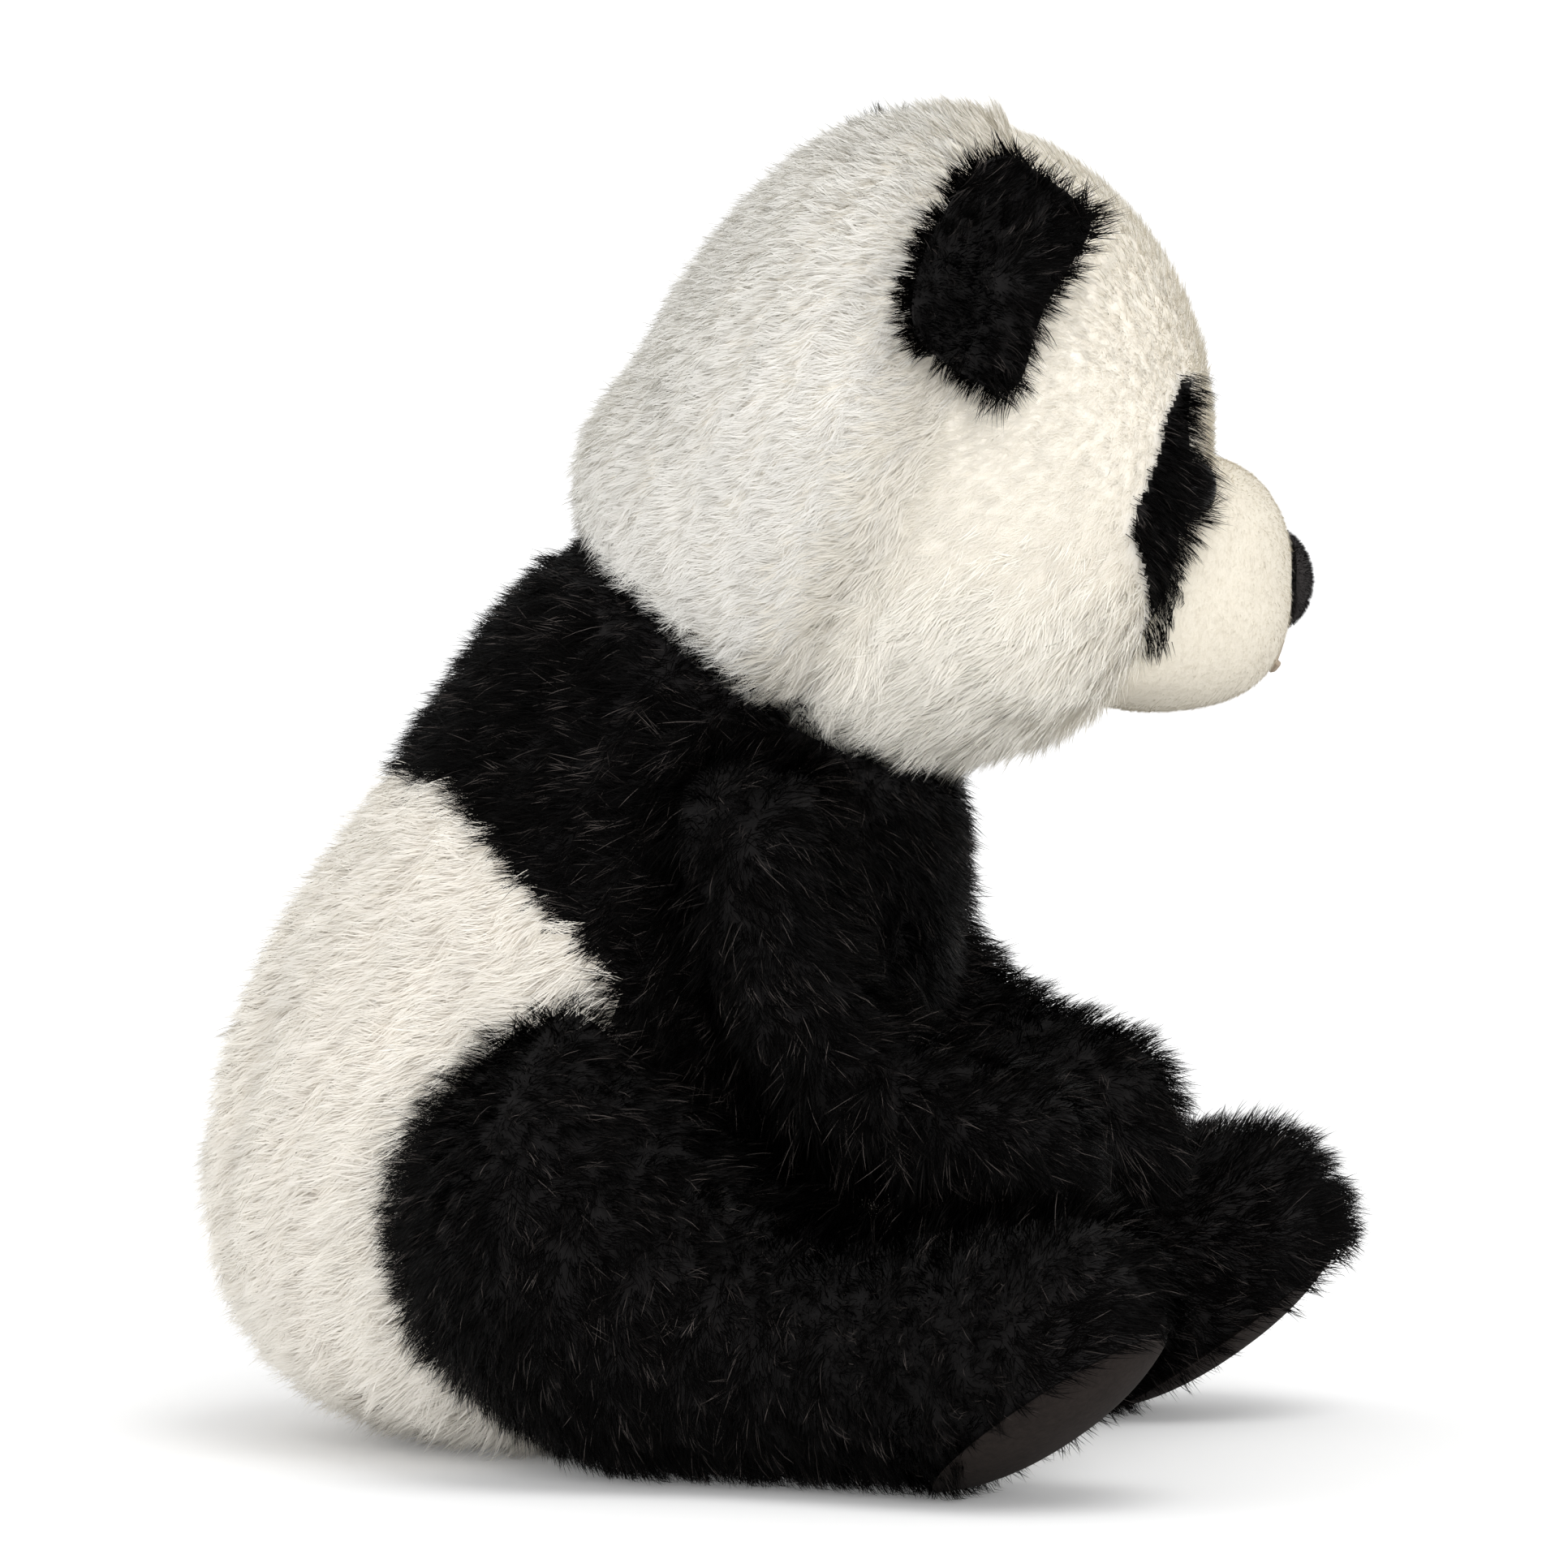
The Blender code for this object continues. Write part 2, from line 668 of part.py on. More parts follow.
def make_muzzle(head_frame):
    frame = add_frame("muzzle_frame", Vector(), FORWARD, DOWN, head_frame)
    on_face = add_cutter("cut_behind_muzzle", head("behind_muzzle", -GAP), head_frame)
    cavity = muzzle_form("muzzle_cavity", MUZZLE_PILE)
    muzzle = add_piece("muzzle", muzzle_form("muzzle"), SHORT_PILE, frame)
    cut(muzzle, add_cutter("cut_muzzle_cavity", cavity, frame))
    cut(muzzle, on_face)
    fill = muzzle_form("muzzle_fill", MUZZLE_PILE + GAP)
    stuffing = add_piece("muzzle_stuffing", fill, FIBRE, frame)
    cut(stuffing, on_face)
    room = muzzle_form("nose_room", -GAP)
    scale = (NOSE_HALF_WIDTH, NOSE_HALF_DEPTH, NOSE_HALF_HEIGHT)
    pad = ball_mesh("nose", 1.0, LIMB_SEGMENTS, LIMB_RINGS, scale)
    nose = add_piece("nose", pad, NOSE_PILE, head_frame)
    nose.location = FORWARD * NOSE_FORWARD - DOWN * NOSE_HEIGHT
    cut(nose, add_cutter("cut_behind_nose", room, frame))
    mouth = stitch_curve("mouth_stitch", STITCH_RADIUS)
    mouth.materials.append(THREAD)
    add_object("mouth_stitch", mouth, head_frame)
    groove = meshed(stitch_curve("mouth_groove", STITCH_RADIUS + GAP))
    cut(muzzle, add_cutter("cut_mouth_groove", groove, head_frame))


def meshed(curve):
    """A curve's surface as a closed mesh, with its caps welded on."""
    drawn = bpy.data.objects.new(curve.name, curve)
    bpy.context.scene.collection.objects.link(drawn)
    bpy.context.view_layer.update()
    graph = bpy.context.evaluated_depsgraph_get()
    mesh = bpy.data.meshes.new_from_object(drawn.evaluated_get(graph))
    bpy.data.objects.remove(drawn)
    form = bmesh.new()
    form.from_mesh(mesh)
    bmesh.ops.remove_doubles(form, verts=form.verts, dist=0.00001)
    bmesh.ops.recalc_face_normals(form, faces=form.faces)
    return finished(form, curve.name)


def stitch_curve(name, radius):
    """The line of the mouth, sunk by half its thickness in the muzzle's pile."""
    curve = bpy.data.curves.new(name, "CURVE")
    curve.dimensions = "3D"
    curve.bevel_depth = radius
    curve.bevel_resolution = 1
    curve.use_fill_caps = True
    spline = curve.splines.new("POLY")
    shares = np.linspace(-1, 1, 13)
    spline.points.add(len(shares) - 1)
    for point, share in zip(spline.points, shares):
        across = share * MOUTH_HALF_WIDTH
        height = MOUTH_HEIGHT - MOUTH_DROP * abs(math.sin(math.pi * 0.75 * share))
        point.co = (across, -muzzle_front(across, height), height, 1)
    return curve


def ear_mesh(name, layer, side):
    """One layer of an ear in its own frame: layer -1 is the front and 1 the back."""
    form = bmesh.new()
    bmesh.ops.create_uvsphere(
        form, u_segments=LIMB_SEGMENTS, v_segments=SMALL_RINGS, radius=1.0
    )
    for vertex in form.verts:
        across, through, up = vertex.co
        reach = (abs(across) ** EAR_SQUARENESS + abs(up) ** EAR_SQUARENESS) ** (1 / EAR_SQUARENESS)
        square = math.hypot(across, up) / reach if reach > 0 else 1
        across, up = across * square, up * square
        through = max(through * layer * EAR_HALF_THICKNESS, GAP / 2) * layer
        cupped = EAR_CUP * (across * across + 0.5 * up * up) - side * EAR_TWIST * across
        height = EAR_CENTRE + up * EAR_HALF_HEIGHT + min(up, 0) * EAR_SEAT
        vertex.co = (
            across * EAR_HALF_WIDTH - side * EAR_RAISED,
            through - cupped + EAR_LEAN * height,
            height,
        )
    return finished(form, name)


def make_ear(side, side_name, head_frame):
    mirror = Matrix.Diagonal((side, 1, 1))
    outward = mirror @ Vector(EAR_OUTWARD).normalized()
    front = mirror @ Vector(EAR_FRONT).normalized()
    upright = front.cross(outward).cross(front)
    origin = outward * (head_radius(outward) + EAR_PIVOT)
    frame = add_frame(f"ear_{side_name}_hinge", origin, upright, -front, head_frame)
    to_head = frame.matrix_basis.inverted()
    room = head("ear_room", -GAP)
    layers = [
        add_piece(f"ear_{side_name}_front", ear_mesh("ear_front", -1, side), BLACK_PILE, frame),
        add_piece(f"ear_{side_name}_back", ear_mesh("ear_back", 1, side), BLACK_PILE, frame),
    ]
    for step, angle in enumerate(np.linspace(-EAR_FOLD, EAR_FOLD, 2 * SWEEP_STEPS + 1)):
        placed = Matrix.Rotation(angle, 4, "X") @ to_head
        cutter = add_cutter(f"cut_ear_{side_name}_{step}", room, frame, placed)
        for layer in layers:
            cut(layer, cutter)


def sweep_cut(pieces, mesh, name, pivot, axis, limit):
    """Cuts the room that a larger form needs as the pieces swing from rest to their limit."""
    for step, angle in enumerate(np.linspace(0, limit, SWEEP_STEPS)):
        placed = Matrix.Translation(pivot) @ Matrix.Rotation(-angle, 4, axis)
        placed = placed @ Matrix.Translation(-pivot)
        cutter = add_cutter(f"{name}_{step}", mesh, None, placed)
        for piece in pieces:
            cut(piece, cutter)


def leg_frame(side, side_name):
    """The leg's own axes at its hip, under an empty on the seam that it swings about."""
    seam = bpy.data.objects.new(f"leg_{side_name}_seam", None)
    PARTS.objects.link(seam)
    seam.location = hinge_point(side)
    hip = Vector((side * HIP_SIDE, -HIP_FORWARD, HIP_HEIGHT)) - hinge_point(side)
    along = Vector((side * math.sin(LEG_SPLAY), -math.cos(LEG_SPLAY), 0))
    return add_frame(f"leg_{side_name}_hip", hip, along, DOWN, seam)


def hinge_point(side):
    return Vector((side * HINGE_SIDE, -HINGE_FORWARD, HIP_HEIGHT))


def leg_mesh(name, inset):
    loft = LyingLoft(LEG, LEG_LOW, LEG_HIGH, HIP_HEIGHT)
    return loft.mesh(name, LIMB_SEGMENTS, LIMB_RINGS, inset)


def make_leg(side, side_name):
    frame = leg_frame(side, side_name)
    along_sole = Vector((0, -math.sin(SOLE_TILT), math.cos(SOLE_TILT)))
    out_of_sole = Vector((0, math.cos(SOLE_TILT), math.sin(SOLE_TILT)))
    heel = Vector((0, HIP_HEIGHT, SOLE_START))
    past_sole = half_space(f"cut_foot_{side_name}", heel, out_of_sole, frame)
    skin = add_piece(f"leg_{side_name}_skin", leg_mesh("leg", 0.0), BLACK_PILE, frame)
    cut(skin, add_cutter(f"cut_leg_cavity_{side_name}", leg_mesh("leg_cavity", LIMB_PILE), frame))
    fill = leg_mesh("leg_fill", LIMB_PILE + GAP)
    stuffing = add_piece(f"leg_{side_name}_stuffing", fill, FIBRE, frame)
    for piece in (skin, stuffing):
        cut(piece, past_sole)
    axis = Vector((0, 0, side))
    body = torso("leg_room", -GAP)
    pieces = (skin, stuffing)
    sweep_cut(pieces, body, f"cut_leg_{side_name}", hinge_point(side), axis, LEG_SWING)
    make_sole(side_name, frame, heel + along_sole * SOLE_MIDDLE, out_of_sole, along_sole)


def make_sole(side_name, leg, middle, out_of_sole, along_sole):
    form = bmesh.new()
    bmesh.ops.create_uvsphere(
        form, u_segments=BODY_SEGMENTS, v_segments=SMALL_RINGS, radius=1.0
    )
    for vertex in form.verts:
        height = max(vertex.co.z * SOLE_CROWN, GAP)
        vertex.co = (vertex.co.x * SOLE_HALF_WIDTH, vertex.co.y * SOLE_HALF_LENGTH, height)
    frame = add_frame(f"sole_{side_name}_frame", middle, out_of_sole, along_sole, leg)
    sole = add_piece(f"sole_{side_name}", finished(form, "sole"), SUEDE, frame)
    floor = half_space(f"cut_sole_floor_{side_name}", Vector((0, 0, 0)), DOWN)
    cut(sole, floor)


def make_arm(side, side_name, legs):
    shoulder = Vector((side * SHOULDER_SIDE, -SHOULDER_FORWARD, SHOULDER_HEIGHT))
    paw = Vector((side * PAW_SIDE, -PAW_FORWARD, PAW_HEIGHT))
    frame = add_frame(f"arm_{side_name}_shoulder", shoulder, paw - shoulder, DOWN)
    forms = {}
    loft = Loft(ARM, ARM_LOW, ARM_HIGH)
    for name, inset in (("skin", 0.0), ("cavity", LIMB_PILE), ("stuffing", LIMB_PILE + GAP)):
        forms[name] = loft.mesh(f"arm_{name}", LIMB_SEGMENTS, LIMB_RINGS, inset)
    skin = add_piece(f"arm_{side_name}_skin", forms["skin"], BLACK_PILE, frame)
    cut(skin, add_cutter(f"cut_arm_cavity_{side_name}", forms["cavity"], frame))
    stuffing = add_piece(f"arm_{side_name}_stuffing", forms["stuffing"], FIBRE, frame)
    body = torso("arm_room", -GAP)
    pieces = (skin, stuffing)
    sweep_cut(pieces, body, f"cut_arm_{side_name}", shoulder, Vector((-1, 0, 0)), ARM_RAISE)
    lap = add_cutter(f"cut_lap_{side_name}", leg_mesh("lap", -GAP), legs[side])
    for piece in pieces:
        cut(piece, lap)


def make_panda():
    neck_frame = add_frame("neck_pivot", HEAD_CENTRE, -NECK_AXIS, FORWARD)
    head_frame = bpy.data.objects.new("head_pivot", None)
    PARTS.objects.link(head_frame)
    head_frame.matrix_basis = Matrix.Translation(HEAD_CENTRE) @ HEAD_TURNED
    make_body(head_frame)
    make_neck(neck_frame)
    make_head(head_frame)
    make_muzzle(head_frame)
    legs = {}
    for side, side_name in ((-1, "right"), (1, "left")):
        make_ear(side, side_name, head_frame)
        make_leg(side, side_name)
        legs[side] = bpy.data.objects[f"leg_{side_name}_hip"]
        make_arm(side, side_name, legs)


make_panda()
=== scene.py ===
"""Looks of the seated plush panda: stuffed skins, fur, face, floor, light and camera.

Metres, +Z up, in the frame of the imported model. The panda faces -Y and its left is +X.
"""

from math import ceil, cos, pi, radians, sin, sqrt

import bmesh
import bpy
import numpy as np
from mathutils import Matrix, Vector


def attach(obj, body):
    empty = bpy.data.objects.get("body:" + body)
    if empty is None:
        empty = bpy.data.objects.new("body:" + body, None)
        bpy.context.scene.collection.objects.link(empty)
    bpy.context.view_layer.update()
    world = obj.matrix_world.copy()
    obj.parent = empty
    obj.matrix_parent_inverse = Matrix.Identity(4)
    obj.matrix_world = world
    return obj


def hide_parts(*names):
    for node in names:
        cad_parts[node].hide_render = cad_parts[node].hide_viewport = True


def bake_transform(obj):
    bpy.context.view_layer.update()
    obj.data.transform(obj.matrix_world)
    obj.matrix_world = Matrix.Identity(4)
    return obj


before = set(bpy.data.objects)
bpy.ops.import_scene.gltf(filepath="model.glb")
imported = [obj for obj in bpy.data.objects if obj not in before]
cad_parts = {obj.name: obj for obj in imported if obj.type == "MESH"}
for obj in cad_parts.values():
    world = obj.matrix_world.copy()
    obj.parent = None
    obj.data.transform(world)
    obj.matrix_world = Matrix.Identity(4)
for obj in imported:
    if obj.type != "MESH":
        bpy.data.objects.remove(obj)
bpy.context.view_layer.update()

SIDES = ((-1, "right"), (1, "left"))

# Forms of the stuffed pieces, at the outer ends of their fur
TORSO_LOW, TORSO_HIGH = -0.004, 0.218
TORSO = (
    (0.0087, -0.040, 0.052, 0.054),
    (0.024, -0.040, 0.063, 0.070),
    (0.062, -0.041, 0.070, 0.0775),
    (0.110, -0.0275, 0.066, 0.076),
    (0.150, -0.0125, 0.058, 0.063),
    (0.175, -0.006, 0.050, 0.052),
    (0.197, 0.003, 0.042, 0.041),
)
YOKE_EDGE = (
    (-0.130, 0.149),
    (-0.052, 0.146),
    (-0.013, 0.110),
    (-0.007, 0.082),
    (0.004, 0.070),
    (0.020, 0.056),
    (0.031, 0.066),
    (0.041, 0.084),
    (0.080, 0.084),
)

UNDER_ARM = 0.044

HEAD_CENTRE = np.array((0.0, -0.038, 0.221))
HEAD_HALVES = np.array((0.0765, 0.0675, 0.0715))
HEAD_YAW = radians(22)
CHEEK_PUFF, CHEEK_TOWARDS, CHEEK_SPREAD = 0.007, (0.66, -0.42, -0.62), radians(30)
CROWN_FLAT, CROWN_TOWARDS, CROWN_SPREAD = 0.0115, (0, 0.77, 0.63), radians(38)
NECK_TILT = radians(32)
NECK_BALL, NECK_SPREAD, NECK_FADE = 0.075, radians(48), radians(28)
FACE_SEAM_BACK, FACE_SEAM_LEAN = 0.0055, radians(22)

MUZZLE_LOW, MUZZLE_HIGH, MUZZLE_SQUARENESS = 0.005, 0.0835, 2.8
MUZZLE = (
    (0.040, -0.033, 0.043, 0.028),
    (0.066, -0.033, 0.039, 0.0275),
    (0.077, -0.033, 0.028, 0.0205),
)
NOSE_PLACE = (0, -0.079, -0.0335)
NOSE_HALVES = (0.0170, 0.0085, 0.0114)

# The dark patch round an eye, in a side view of the head: height, back edge and front edge
PATCH_TURN, PATCH_SLOPE = radians(8), 0.087
PATCH = (
    (-0.0490, 0.0500, 0.0550),
    (-0.0420, 0.0495, 0.0560),
    (-0.0355, 0.0490, 0.0570),
    (-0.0310, 0.0480, 0.0578),
    (-0.0225, 0.0455, 0.0585),
    (-0.0170, 0.0470, 0.0605),
    (-0.0090, 0.0510, 0.0610),
    (0.0000, 0.0530, 0.0600),
    (0.0080, 0.0560, 0.0610),
    (0.0100, 0.0575, 0.0615),
)
EYE_SIDE, EYE_DROP = radians(36), radians(9)
EYE_RADIUS, EYE_RISE, EYE_SINK = 0.006, 0.0042, 0.0025

EAR_OUTWARD, EAR_FRONT = (0.88, -0.21, 0.39), (0.66, -0.75, 0.06)
EAR_HALF_WIDTH, EAR_HALF_HEIGHT, EAR_CENTRE, EAR_RAISED = 0.0250, 0.0160, 0.0170, -0.0005
EAR_LEAN, EAR_CUP, EAR_PIVOT, EAR_SEAT = 0.30, 0.005, 0.0004, 0.003
EAR_HALF_THICKNESS, EAR_SQUARENESS, EAR_TWIST = 0.0055, 3.5, 0.0045

SHOULDER = (0.050, -0.015, 0.136)
PAW = (0.040, -0.079, 0.067)
ARM_LOW, ARM_HIGH = -0.024, 0.111
ARM = (
    (0.000, 0.000, 0.0225, 0.024),
    (0.042, -0.0195, 0.020, 0.0205),
    (0.088, -0.0050, 0.0215, 0.022),
)

HIP = (0.050, 0.013, 0.052)
LEG_SPLAY = radians(18)
LEG_LOW, LEG_HIGH = -0.056, 0.137
LEG = (
    (0.000, 0.0025, 0.056, 0.055),
    (0.046, -0.0220, 0.034, 0.0305),
    (0.080, -0.0215, 0.030, 0.0310),
    (0.105, -0.0185, 0.029, 0.0320),
    (0.124, -0.0130, 0.024, 0.0250),
)
SOLE_START, SOLE_TILT = 0.079, radians(35)
SOLE_HALF_LENGTH, SOLE_HALF_WIDTH, SOLE_CROWN, SOLE_MIDDLE = 0.031, 0.022, 0.006, 0.033

# Segments and rings of the skins, and of the plainer ones that cut them
BODY_GRID, HEAD_GRID, PATCH_GRID = (120, 72), (120, 80), (240, 180)
SNOUT_GRID, NOSE_GRID, EAR_GRID = (72, 48), (40, 28), (48, 28)
ARM_GRID, LEG_GRID, SOLE_GRID = (48, 40), (64, 48), (64, 28)
CUT_GRID, LEG_CUT_GRID, SMALL_CUT_GRID = (72, 48), (56, 40), (48, 32)

# Where random draws start: for the places of the fur, and for its strands
SEEDS = dict(body=11, head=12, muzzle=13, ear=14, arm=16, leg=18, patch=51)
FUR_SEEDS = dict(body=21, head=31, patch=61, muzzle=71, nose=72, ear=81, arm=91, leg=95)

# How deep the cloth lies under the ends of the fur
BODY_PILE, HEAD_PILE, LIMB_PILE = 0.0050, 0.0040, 0.0048
MUZZLE_PILE, EAR_PILE, NOSE_PILE = 0.0014, 0.0022, 0.0008


def rotation(axis_x, axis_y, axis_z, origin):
    placed = np.eye(4)
    placed[:3, 0], placed[:3, 1], placed[:3, 2], placed[:3, 3] = axis_x, axis_y, axis_z, origin
    return placed


norm = np.linalg.norm


def unit(vectors):
    vectors = np.asarray(vectors, float)
    return vectors / np.maximum(norm(vectors, axis=-1, keepdims=True), 1e-12)


def axes(origin, axis_z, axis_y):
    """A frame whose Z points as given and whose Y is as near as can be to the one given."""
    axis_z = unit(axis_z)
    axis_x = unit(np.cross(axis_y, axis_z))
    return rotation(axis_x, np.cross(axis_z, axis_x), axis_z, origin)


def draws(piece, number=0):
    return np.random.default_rng(SEEDS[piece] + number)


def rise(values, start, width):
    """0 up to a start, and 1 from a width beyond it."""
    return np.clip((values - start) / width, 0, 1)


def mirrored(row, side):
    return np.array(row) * (side, 1, 1)


def moved(placed, points):
    return points @ placed[:3, :3].T + placed[:3, 3]


def turned(placed, vectors):
    return np.asarray(vectors, float) @ placed[:3, :3].T


DOWN = np.array((0.0, 0.0, -1.0))
HEAD_PLACED = rotation(
    (cos(HEAD_YAW), sin(HEAD_YAW), 0), (-sin(HEAD_YAW), cos(HEAD_YAW), 0), (0, 0, 1), HEAD_CENTRE
)
NECK_AXIS = np.array((0, sin(NECK_TILT), -cos(NECK_TILT)))


def smooth_values(positions, values, at):
    """Values on a smooth curve through the rows, level beyond their ends."""
    at = np.clip(at, positions[0], positions[-1])
    slopes = np.gradient(values, positions)
    row = np.clip(np.searchsorted(positions, at) - 1, 0, len(positions) - 2)
    step = positions[row + 1] - positions[row]
    t = (at - positions[row]) / step
    start = (1 + 2 * t) * (1 - t) ** 2 * values[row] + t * (1 - t) ** 2 * step * slopes[row]
    end = t * t * (3 - 2 * t) * values[row + 1] - t * t * (1 - t) * step * slopes[row + 1]
    return start + end


def rounded(share):
    """A round section's width at a share of its length."""
    return 2 * np.sqrt(np.maximum(share * (1 - share), 0))


def squared(a, b, power):
    """Places in a round section, moved out towards the corners of a square."""
    reach = (np.abs(a) ** power + np.abs(b) ** power) ** (1 / power)
    square = np.hypot(a, b) / np.maximum(reach, 1e-9)
    return a * square, b * square


class Loft:
    """A stuffed form along its own Z, with round ends and an oval section at each row."""

    def __init__(self, rows, low, high, placed=None, floor=None, squareness=2.0):
        table = np.array(rows, float)
        self.low, self.high, self.floor, self.power = low, high, floor, squareness
        self.placed = np.eye(4) if placed is None else placed
        self.positions, self.centres = table[:, 0], table[:, 1]
        roundness = rounded((self.positions - low) / (high - low))
        self.widths, self.depths = table[:, 2] / roundness, table[:, 3] / roundness

    def section(self, position):
        rows = (self.centres, self.widths, self.depths)
        return [smooth_values(self.positions, row, position) for row in rows]

    def shaped(self, sphere):
        """Points of the form, from points of a unit sphere."""
        position = self.low + (self.high - self.low) * (sphere[:, 2] + 1) / 2
        centre, width, depth = self.section(position)
        across, through = squared(sphere[:, 0], sphere[:, 1], self.power)
        local = np.stack((across * width, through * depth - centre, position), 1)
        if self.floor is not None:
            local = self.floor(local)
        return moved(self.placed, local)

    def local(self, points):
        return moved(np.linalg.inv(self.placed), points)

    def inside(self, points, grow=0.0):
        """Which points lie in the form when its skin is moved out by a distance."""
        x, y, z = self.local(points).T
        centre, width, depth = self.section(z)
        stretch = (z - self.low + grow) / (self.high - self.low + 2 * grow)
        across = np.abs(x) / np.maximum(width * rounded(stretch) + grow, 1e-6)
        through = np.abs(y + centre) / np.maximum(depth * rounded(stretch) + grow, 1e-6)
        return (across**self.power + through**self.power < 1) & (stretch > 0) & (stretch < 1)


class Head:
    """The ball of the head, by how far its fur reaches in each direction."""

    def radius(self, direction):
        radius = 1 / norm(direction / HEAD_HALVES, axis=1)
        crown = np.arccos(np.clip(direction @ unit(CROWN_TOWARDS), -1, 1))
        radius -= CROWN_FLAT * np.exp(-((crown / CROWN_SPREAD) ** 2))
        for side in (-1, 1):
            towards = unit(mirrored(CHEEK_TOWARDS, side))
            cheek = np.arccos(np.clip(direction @ towards, -1, 1))
            radius += CHEEK_PUFF * np.exp(-((cheek / CHEEK_SPREAD) ** 2))
        neck = np.linalg.inv(HEAD_PLACED[:3, :3]) @ NECK_AXIS
        off_neck = np.arccos(np.clip(direction @ neck, -1, 1))
        fade = rise(off_neck, NECK_SPREAD, NECK_FADE)
        fade = fade * fade * (3 - 2 * fade)
        return NECK_BALL + (radius - NECK_BALL) * fade

    def shaped(self, sphere):
        direction = unit(sphere)
        return moved(HEAD_PLACED, direction * self.radius(direction)[:, None])

    def local(self, points):
        return moved(np.linalg.inv(HEAD_PLACED), points)

    def inside(self, points, grow=0.0):
        local = self.local(points)
        return norm(local, axis=1) < self.radius(unit(local)) + grow

    def normal(self, direction):
        """Place and outward direction of the skin, in the head's frame, along a direction."""
        direction = unit(direction)
        aside = unit(np.cross(direction, (0, 0, 1))) / 50
        above = np.cross(direction, aside)
        around = unit(np.stack((direction, direction + aside, direction + above)))
        middle, near, over = around * self.radius(around)[:, None]
        return middle, unit(np.cross(near - middle, over - middle))


class Ear:
    """One ear: a cupped pad, local Z up from its hinge and local Y to its back."""

    def __init__(self, side):
        outward = unit(mirrored(EAR_OUTWARD, side))
        front = unit(mirrored(EAR_FRONT, side))
        upright = np.cross(np.cross(front, outward), front)
        origin = outward * (HEAD.radius(outward[None])[0] + EAR_PIVOT)
        self.placed = HEAD_PLACED @ axes(origin, upright, -front)
        self.side = side
        self.middle = np.array((-side * EAR_RAISED, 0, EAR_CENTRE))

    def shaped(self, sphere):
        across, through, up = sphere.T
        across, up = squared(across, up, EAR_SQUARENESS)
        cupped = EAR_CUP * (across**2 + 0.5 * up**2) - self.side * EAR_TWIST * across
        deep = through * EAR_HALF_THICKNESS - cupped
        local = np.stack((across * EAR_HALF_WIDTH, deep, up * EAR_HALF_HEIGHT), 1)
        local += self.middle
        local[:, 2] -= np.clip(-up, 0, 1) * (EAR_SEAT + local[:, 0] ** 2 / (2 * HEAD_HALVES[1]))
        local[:, 1] += EAR_LEAN * local[:, 2]
        return moved(self.placed, local)

    def local(self, points):
        return moved(np.linalg.inv(self.placed), points) - self.middle


def torso_floor(local):
    local[:, 2] = np.maximum(local[:, 2], 0)
    return local


def leg_floor(local):
    local[:, 1] = np.minimum(local[:, 1], HIP[2])
    return local


def leg_placed(side):
    along = (side * sin(LEG_SPLAY), -cos(LEG_SPLAY), 0)
    return axes(mirrored(HIP, side), along, DOWN)


def arm_placed(side):
    shoulder, paw = mirrored(SHOULDER, side), mirrored(PAW, side)
    return axes(shoulder, paw - shoulder, DOWN)


HEAD = Head()
BODY = Loft(TORSO, TORSO_LOW, TORSO_HIGH, floor=torso_floor)
MUZZLE_PLACED = HEAD_PLACED @ axes((0, 0, 0), (0, -1, 0), DOWN)
SNOUT = Loft(MUZZLE, MUZZLE_LOW, MUZZLE_HIGH, MUZZLE_PLACED, squareness=MUZZLE_SQUARENESS)
LEGS = {name: Loft(LEG, LEG_LOW, LEG_HIGH, leg_placed(side), leg_floor) for side, name in SIDES}
ARMS = {name: Loft(ARM, ARM_LOW, ARM_HIGH, arm_placed(side)) for side, name in SIDES}
EARS = {name: Ear(side) for side, name in SIDES}


def ball(segments, rings, radius=1.0):
    made = bmesh.new()
    bmesh.ops.create_uvsphere(made, u_segments=segments, v_segments=rings, radius=radius)
    return made


def as_mesh(made, name):
    """The mesh of a bmesh, which is freed."""
    mesh = bpy.data.meshes.new(name)
    made.to_mesh(mesh)
    made.free()
    return mesh


SQUARE_CM = 1e4  # in a square metre
# Steps that spread points evenly over a triangle, and how far chance moves them
EVEN_STEPS, JITTER = (0.7548776662, 0.5698402910), 0.15


class Skin:
    """A closed surface at a depth under a form: points, triangles and outward normals."""

    def __init__(self, form, grid, inset, folds=None):
        mesh = as_mesh(ball(*grid), "skin")
        place(mesh, form.shaped(unit(read(mesh.vertices, "co"))))
        outer = read(mesh.vertices, "co")
        self.normals = read(mesh.vertex_normals, "vector")
        if folds is not None:
            inset = inset + folds(outer)[:, None]
        place(mesh, outer - self.normals * inset)
        self.normals = read(mesh.vertex_normals, "vector")
        self.mesh = mesh
        mesh.calc_loop_triangles()
        self.points = read(mesh.vertices, "co")
        self.triangles = read(mesh.loop_triangles, "vertices", np.int32)

    def scattered(self, pile, random):
        """Places for a pile's clumps, spread evenly over the surface, and its normals there."""
        a, b, c = (self.points[self.triangles[:, i]] for i in range(3))
        sums = np.cumsum(norm(np.cross(b - a, c - a), axis=1) / 2)
        count = int(sums[-1] * SQUARE_CM * pile.clumps)
        at = (np.arange(count) + random.random(count)) / count * sums[-1]
        chosen = np.minimum(np.searchsorted(sums, at), len(sums) - 1)
        even = (np.arange(count) * step for step in EVEN_STEPS)
        u, v = ((place + JITTER * random.random(count)) % 1 for place in even)
        over = u + v > 1
        u, v = np.where(over, 1 - u, u), np.where(over, 1 - v, v)
        shares = np.stack((1 - u - v, u, v), 1)[:, :, None]
        corners = self.triangles[chosen]
        points = (self.points[corners] * shares).sum(1)
        return points, unit((self.normals[corners] * shares).sum(1))


